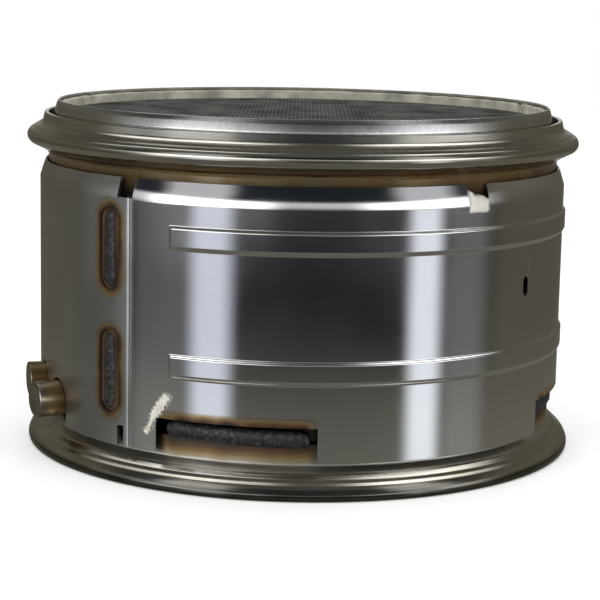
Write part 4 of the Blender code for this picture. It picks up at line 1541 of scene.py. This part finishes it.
# STUDIO
# The filter stands on a white floor in even light. A tent round it, which only its shine sees,
# holds the soft lamps and the dim room that the polished steel mirrors.


def looked_at(tree):
    """1 for rays from the camera and for those that mirrors and glass send on, or else 0."""
    kind = add(tree, "ShaderNodeLightPath").outputs
    shine = add(
        tree,
        "ShaderNodeMath",
        {0: kind["Is Glossy Ray"], 1: kind["Is Transmission Ray"]},
        operation="MAXIMUM",
    ).outputs[0]
    return add(
        tree, "ShaderNodeMath", {0: kind["Is Camera Ray"], 1: shine}, operation="MAXIMUM"
    ).outputs[0]


def with_lamp(tree, seen, edges, level):
    """What the tent shows so far, with a lamp's level added inside its soft edges.

    edges are (value, where it is dark, where it is fully lit)."""
    lit = 1.0
    for value, dark_at, lit_at in edges:
        rise = add(
            tree,
            "ShaderNodeMapRange",
            {"Value": value, "From Min": dark_at, "From Max": lit_at},
            interpolation_type="SMOOTHSTEP",
        ).outputs[0]
        lit = add(tree, "ShaderNodeMath", {0: rise, 1: lit}, operation="MULTIPLY").outputs[0]
    return add(
        tree,
        "ShaderNodeMix",
        {0: lit, 6: seen, 7: (*level, 1.0)},
        data_type="RGBA",
        blend_type="ADD",
    ).outputs[2]


bm = bmesh.new()
bmesh.ops.create_circle(bm, cap_ends=True, segments=96, radius=3.0)
floor_mesh = bpy.data.meshes.new("floor")
bm.to_mesh(floor_mesh)
bm.free()
floor = bpy.data.objects.new("floor", floor_mesh)
bpy.context.scene.collection.objects.link(floor)
floor.visible_glossy = False
white_paper, tree, shader = start_material("white_paper")
shader.inputs["Base Color"].default_value = colour("#FDFDFC")
shader.inputs["Roughness"].default_value = 0.9
# The paper is burnt out to white in the picture, as it would be in a catalogue.
burnt_out = add(
    tree, "ShaderNodeMath", {0: looked_at(tree), 1: 0.16}, operation="MULTIPLY"
).outputs[0]
tree.links.new(burnt_out, shader.inputs["Emission Strength"])
shader.inputs["Emission Color"].default_value = colour("#FFFFFF")
floor_mesh.materials.append(white_paper)

bm = bmesh.new()
bmesh.ops.create_uvsphere(bm, u_segments=64, v_segments=32, radius=8.0)
bmesh.ops.reverse_faces(bm, faces=bm.faces)
tent_mesh = bpy.data.meshes.new("reflection_tent")
bm.to_mesh(tent_mesh)
bm.free()
tent = bpy.data.objects.new("reflection_tent", tent_mesh)
bpy.context.scene.collection.objects.link(tent)
tent.visible_camera = False
tent.visible_diffuse = False
tent.visible_transmission = False
tent.visible_shadow = False

cloth, tree, shader = start_material("tent_cloth")
tree.nodes.remove(shader)
place = add(tree, "ShaderNodeTexCoord").outputs["Object"]
line = add(tree, "ShaderNodeVectorMath", {0: place}, operation="NORMALIZE").outputs[0]
spot = add(tree, "ShaderNodeSeparateXYZ", {"Vector": line}).outputs
front = add(tree, "ShaderNodeMath", {0: spot["Y"], 1: -1.0}, operation="MULTIPLY").outputs[0]
turn = add(tree, "ShaderNodeMath", {0: spot["X"], 1: front}, operation="ARCTAN2").outputs[0]
azimuth = add(tree, "ShaderNodeMath", {0: turn}, operation="DEGREES").outputs[0]
steep = add(tree, "ShaderNodeMath", {0: spot["Z"]}, operation="ARCSINE").outputs[0]
height = add(tree, "ShaderNodeMath", {0: steep}, operation="DEGREES").outputs[0]
share = add(
    tree, "ShaderNodeMapRange", {"Value": height, "From Min": -90.0, "From Max": 90.0}
).outputs[0]


def level_at(degrees):
    """The place of this height above the horizon on a ramp that runs from straight down to up."""
    return (degrees + 90) / 180


# The room: the bench below, a dark wall in front, and the pale ceiling behind the lamps.
room = add(
    tree,
    "ShaderNodeValToRGB",
    {"Fac": share},
    [
        (0.0, "#66645A"),
        (level_at(-14), "#6E6D65"),
        (level_at(-12.4), "#64635B"),
        (level_at(-10), "#1E2024"),
        (level_at(-6), "#1E2023"),
        (level_at(-3.5), "#4A4B4D"),
        (level_at(9), "#D6D7D8"),
        (level_at(16.5), "#D6D7D8"),
        (level_at(19.5), "#202428"),
        (level_at(38), "#202428"),
        (level_at(46), "#4A4A48"),
        (level_at(75), "#5C5C56"),
        (1.0, "#5C5C56"),
    ],
).outputs["Color"]
side_tone = add(
    tree,
    "ShaderNodeValToRGB",
    {"Fac": share},
    [
        (0.0, "#66645A"),
        (level_at(-14), "#706E65"),
        (level_at(-12.4), "#6A675C"),
        (level_at(-9), "#57544A"),
        (level_at(4), "#5C594E"),
        (level_at(15), "#6A675C"),
        (level_at(45), "#4A4943"),
        (level_at(78), "#5C5C56"),
        (1.0, "#5C5C56"),
    ],
).outputs["Color"]
off_axis = add(tree, "ShaderNodeMath", {0: azimuth}, operation="ABSOLUTE").outputs[0]
beside = add(
    tree,
    "ShaderNodeMapRange",
    {"Value": off_axis, "From Min": 72.0, "From Max": 100.0},
    interpolation_type="SMOOTHSTEP",
).outputs[0]
seen = add(tree, "ShaderNodeMix", {0: beside, 6: room, 7: side_tone}, data_type="RGBA").outputs[2]


# The upright lamps: azimuth, half width and softness, lowest and highest edge and their
# softness, all in degrees, and the light's level.
for azimuth_at, half, soft, lowest, highest, edge, level in (
    (-37.5, 8.5, 9.0, -16.0, -4.0, 3.0, (0.74, 0.78, 0.9)),
    (-61.0, 13.0, 8.0, -18.0, -4.0, 3.0, (0.09, 0.09, 0.09)),
    (-39.0, 26.0, 16.0, -3.0, 17.0, 3.0, (1.7, 1.7, 1.73)),
    (-46.0, 15.0, 10.0, -3.0, 50.0, 3.0, (0.58, 0.58, 0.6)),
    (53.5, 7.0, 8.0, -16.0, -4.0, 3.0, (0.97, 1.02, 1.1)),
    (74.0, 10.0, 12.0, -16.0, -4.0, 3.0, (0.13, 0.13, 0.13)),
    (53.0, 26.0, 18.0, -1.0, 17.0, 4.0, (1.45, 1.45, 1.47)),
    (56.0, 13.0, 12.0, -3.0, 50.0, 3.0, (0.58, 0.58, 0.6)),
    (180.0, 10.0, 22.0, -14.0, 40.0, 8.0, (0.7, 0.7, 0.7)),
):
    apart = add(tree, "ShaderNodeMath", {0: azimuth, 1: azimuth_at}, operation="SUBTRACT").outputs[0]
    nearest = add(
        tree, "ShaderNodeMath", {0: apart, 1: 180.0, 2: -180.0}, operation="WRAP"
    ).outputs[0]
    off = add(tree, "ShaderNodeMath", {0: nearest}, operation="ABSOLUTE").outputs[0]
    edges = (
        (off, half + soft / 2, half - soft / 2),
        (height, lowest - edge / 2, lowest + edge / 2),
        (height, highest + edge / 2, highest - edge / 2),
    )
    seen = with_lamp(tree, seen, edges, level)

# Two lamps under the ceiling stand a little behind the filter and spread apart to the back.
# Along and aside are measured on a ceiling one metre up.
up_part = add(tree, "ShaderNodeMath", {0: spot["Z"], 1: 0.05}, operation="MAXIMUM").outputs[0]
aside = add(tree, "ShaderNodeMath", {0: spot["X"], 1: up_part}, operation="DIVIDE").outputs[0]
along = add(tree, "ShaderNodeMath", {0: spot["Y"], 1: up_part}, operation="DIVIDE").outputs[0]
for side, middle, spread, level in ((-1.0, 0.34, 0.9, 2.2), (1.0, 0.45, 0.65, 2.3)):
    across = add(
        tree, "ShaderNodeMath", {0: along, 1: spread, 2: middle}, operation="MULTIPLY_ADD"
    ).outputs[0]
    shift = add(tree, "ShaderNodeMath", {0: across, 1: side}, operation="MULTIPLY").outputs[0]
    apart = add(tree, "ShaderNodeMath", {0: aside, 1: shift}, operation="SUBTRACT").outputs[0]
    off = add(tree, "ShaderNodeMath", {0: apart}, operation="ABSOLUTE").outputs[0]
    edges = ((off, 0.24, 0.1), (along, -0.17, -0.05), (along, 0.75, 0.3))
    seen = with_lamp(tree, seen, edges, (level, level, level))
glow = add(tree, "ShaderNodeEmission", {"Color": seen, "Strength": 1.0})
tree.links.new(glow.outputs[0], tree.nodes["Material Output"].inputs["Surface"])
tent_mesh.materials.append(cloth)

world = bpy.data.worlds.new("white_room")
bpy.context.scene.world = world
world.use_nodes = True
tree = world.node_tree
tree.nodes.clear()
strength = add(
    tree, "ShaderNodeMapRange", {"Value": looked_at(tree), "To Min": 0.9, "To Max": 1.0}
).outputs[0]
sky = add(tree, "ShaderNodeBackground", {"Color": colour("#FFFFFF"), "Strength": strength})
out_node = add(tree, "ShaderNodeOutputWorld")
tree.links.new(sky.outputs[0], out_node.inputs["Surface"])

for name, spot, size, power in (
    ("key", (-1.3, -1.7, 2.1), 1.3, 16.0),
    ("fill", (1.7, -1.3, 1.6), 1.3, 9.0),
    ("back", (0.3, 1.9, 2.0), 1.4, 10.0),
):
    data = bpy.data.lights.new(name, "AREA")
    data.size = size
    data.energy = power
    lamp = bpy.data.objects.new(name, data)
    bpy.context.scene.collection.objects.link(lamp)
    lamp.location = spot
    aim = Vector((0.0, 0.0, 0.1)) - Vector(spot)
    lamp.rotation_euler = aim.to_track_quat("-Z", "Y").to_euler()
    lamp.visible_glossy = False

# The camera stands 1.2 m in front at the photograph's height, tipped down and a little askew.
PITCH = math.radians(9.679)
ROLL = math.radians(1.114)
lens = bpy.data.cameras.new("camera")
lens.sensor_width = 36.0
lens.lens = 113.69
lens.clip_start = 0.05
lens.clip_end = 100.0
camera = bpy.data.objects.new("camera", lens)
bpy.context.scene.collection.objects.link(camera)
forward = Vector((0.0, math.cos(PITCH), -math.sin(PITCH)))
right = Vector((1.0, 0.0, 0.0))
above = right.cross(forward)
level_right = right * math.cos(ROLL) + above * math.sin(ROLL)
level_up = above * math.cos(ROLL) - right * math.sin(ROLL)
turned = Matrix((level_right, level_up, -forward)).transposed().to_4x4()
camera.matrix_world = Matrix.Translation((0.0, -1.2272, 0.29739)) @ turned
bpy.context.scene.camera = camera
bpy.context.scene.view_settings.view_transform = "Standard"
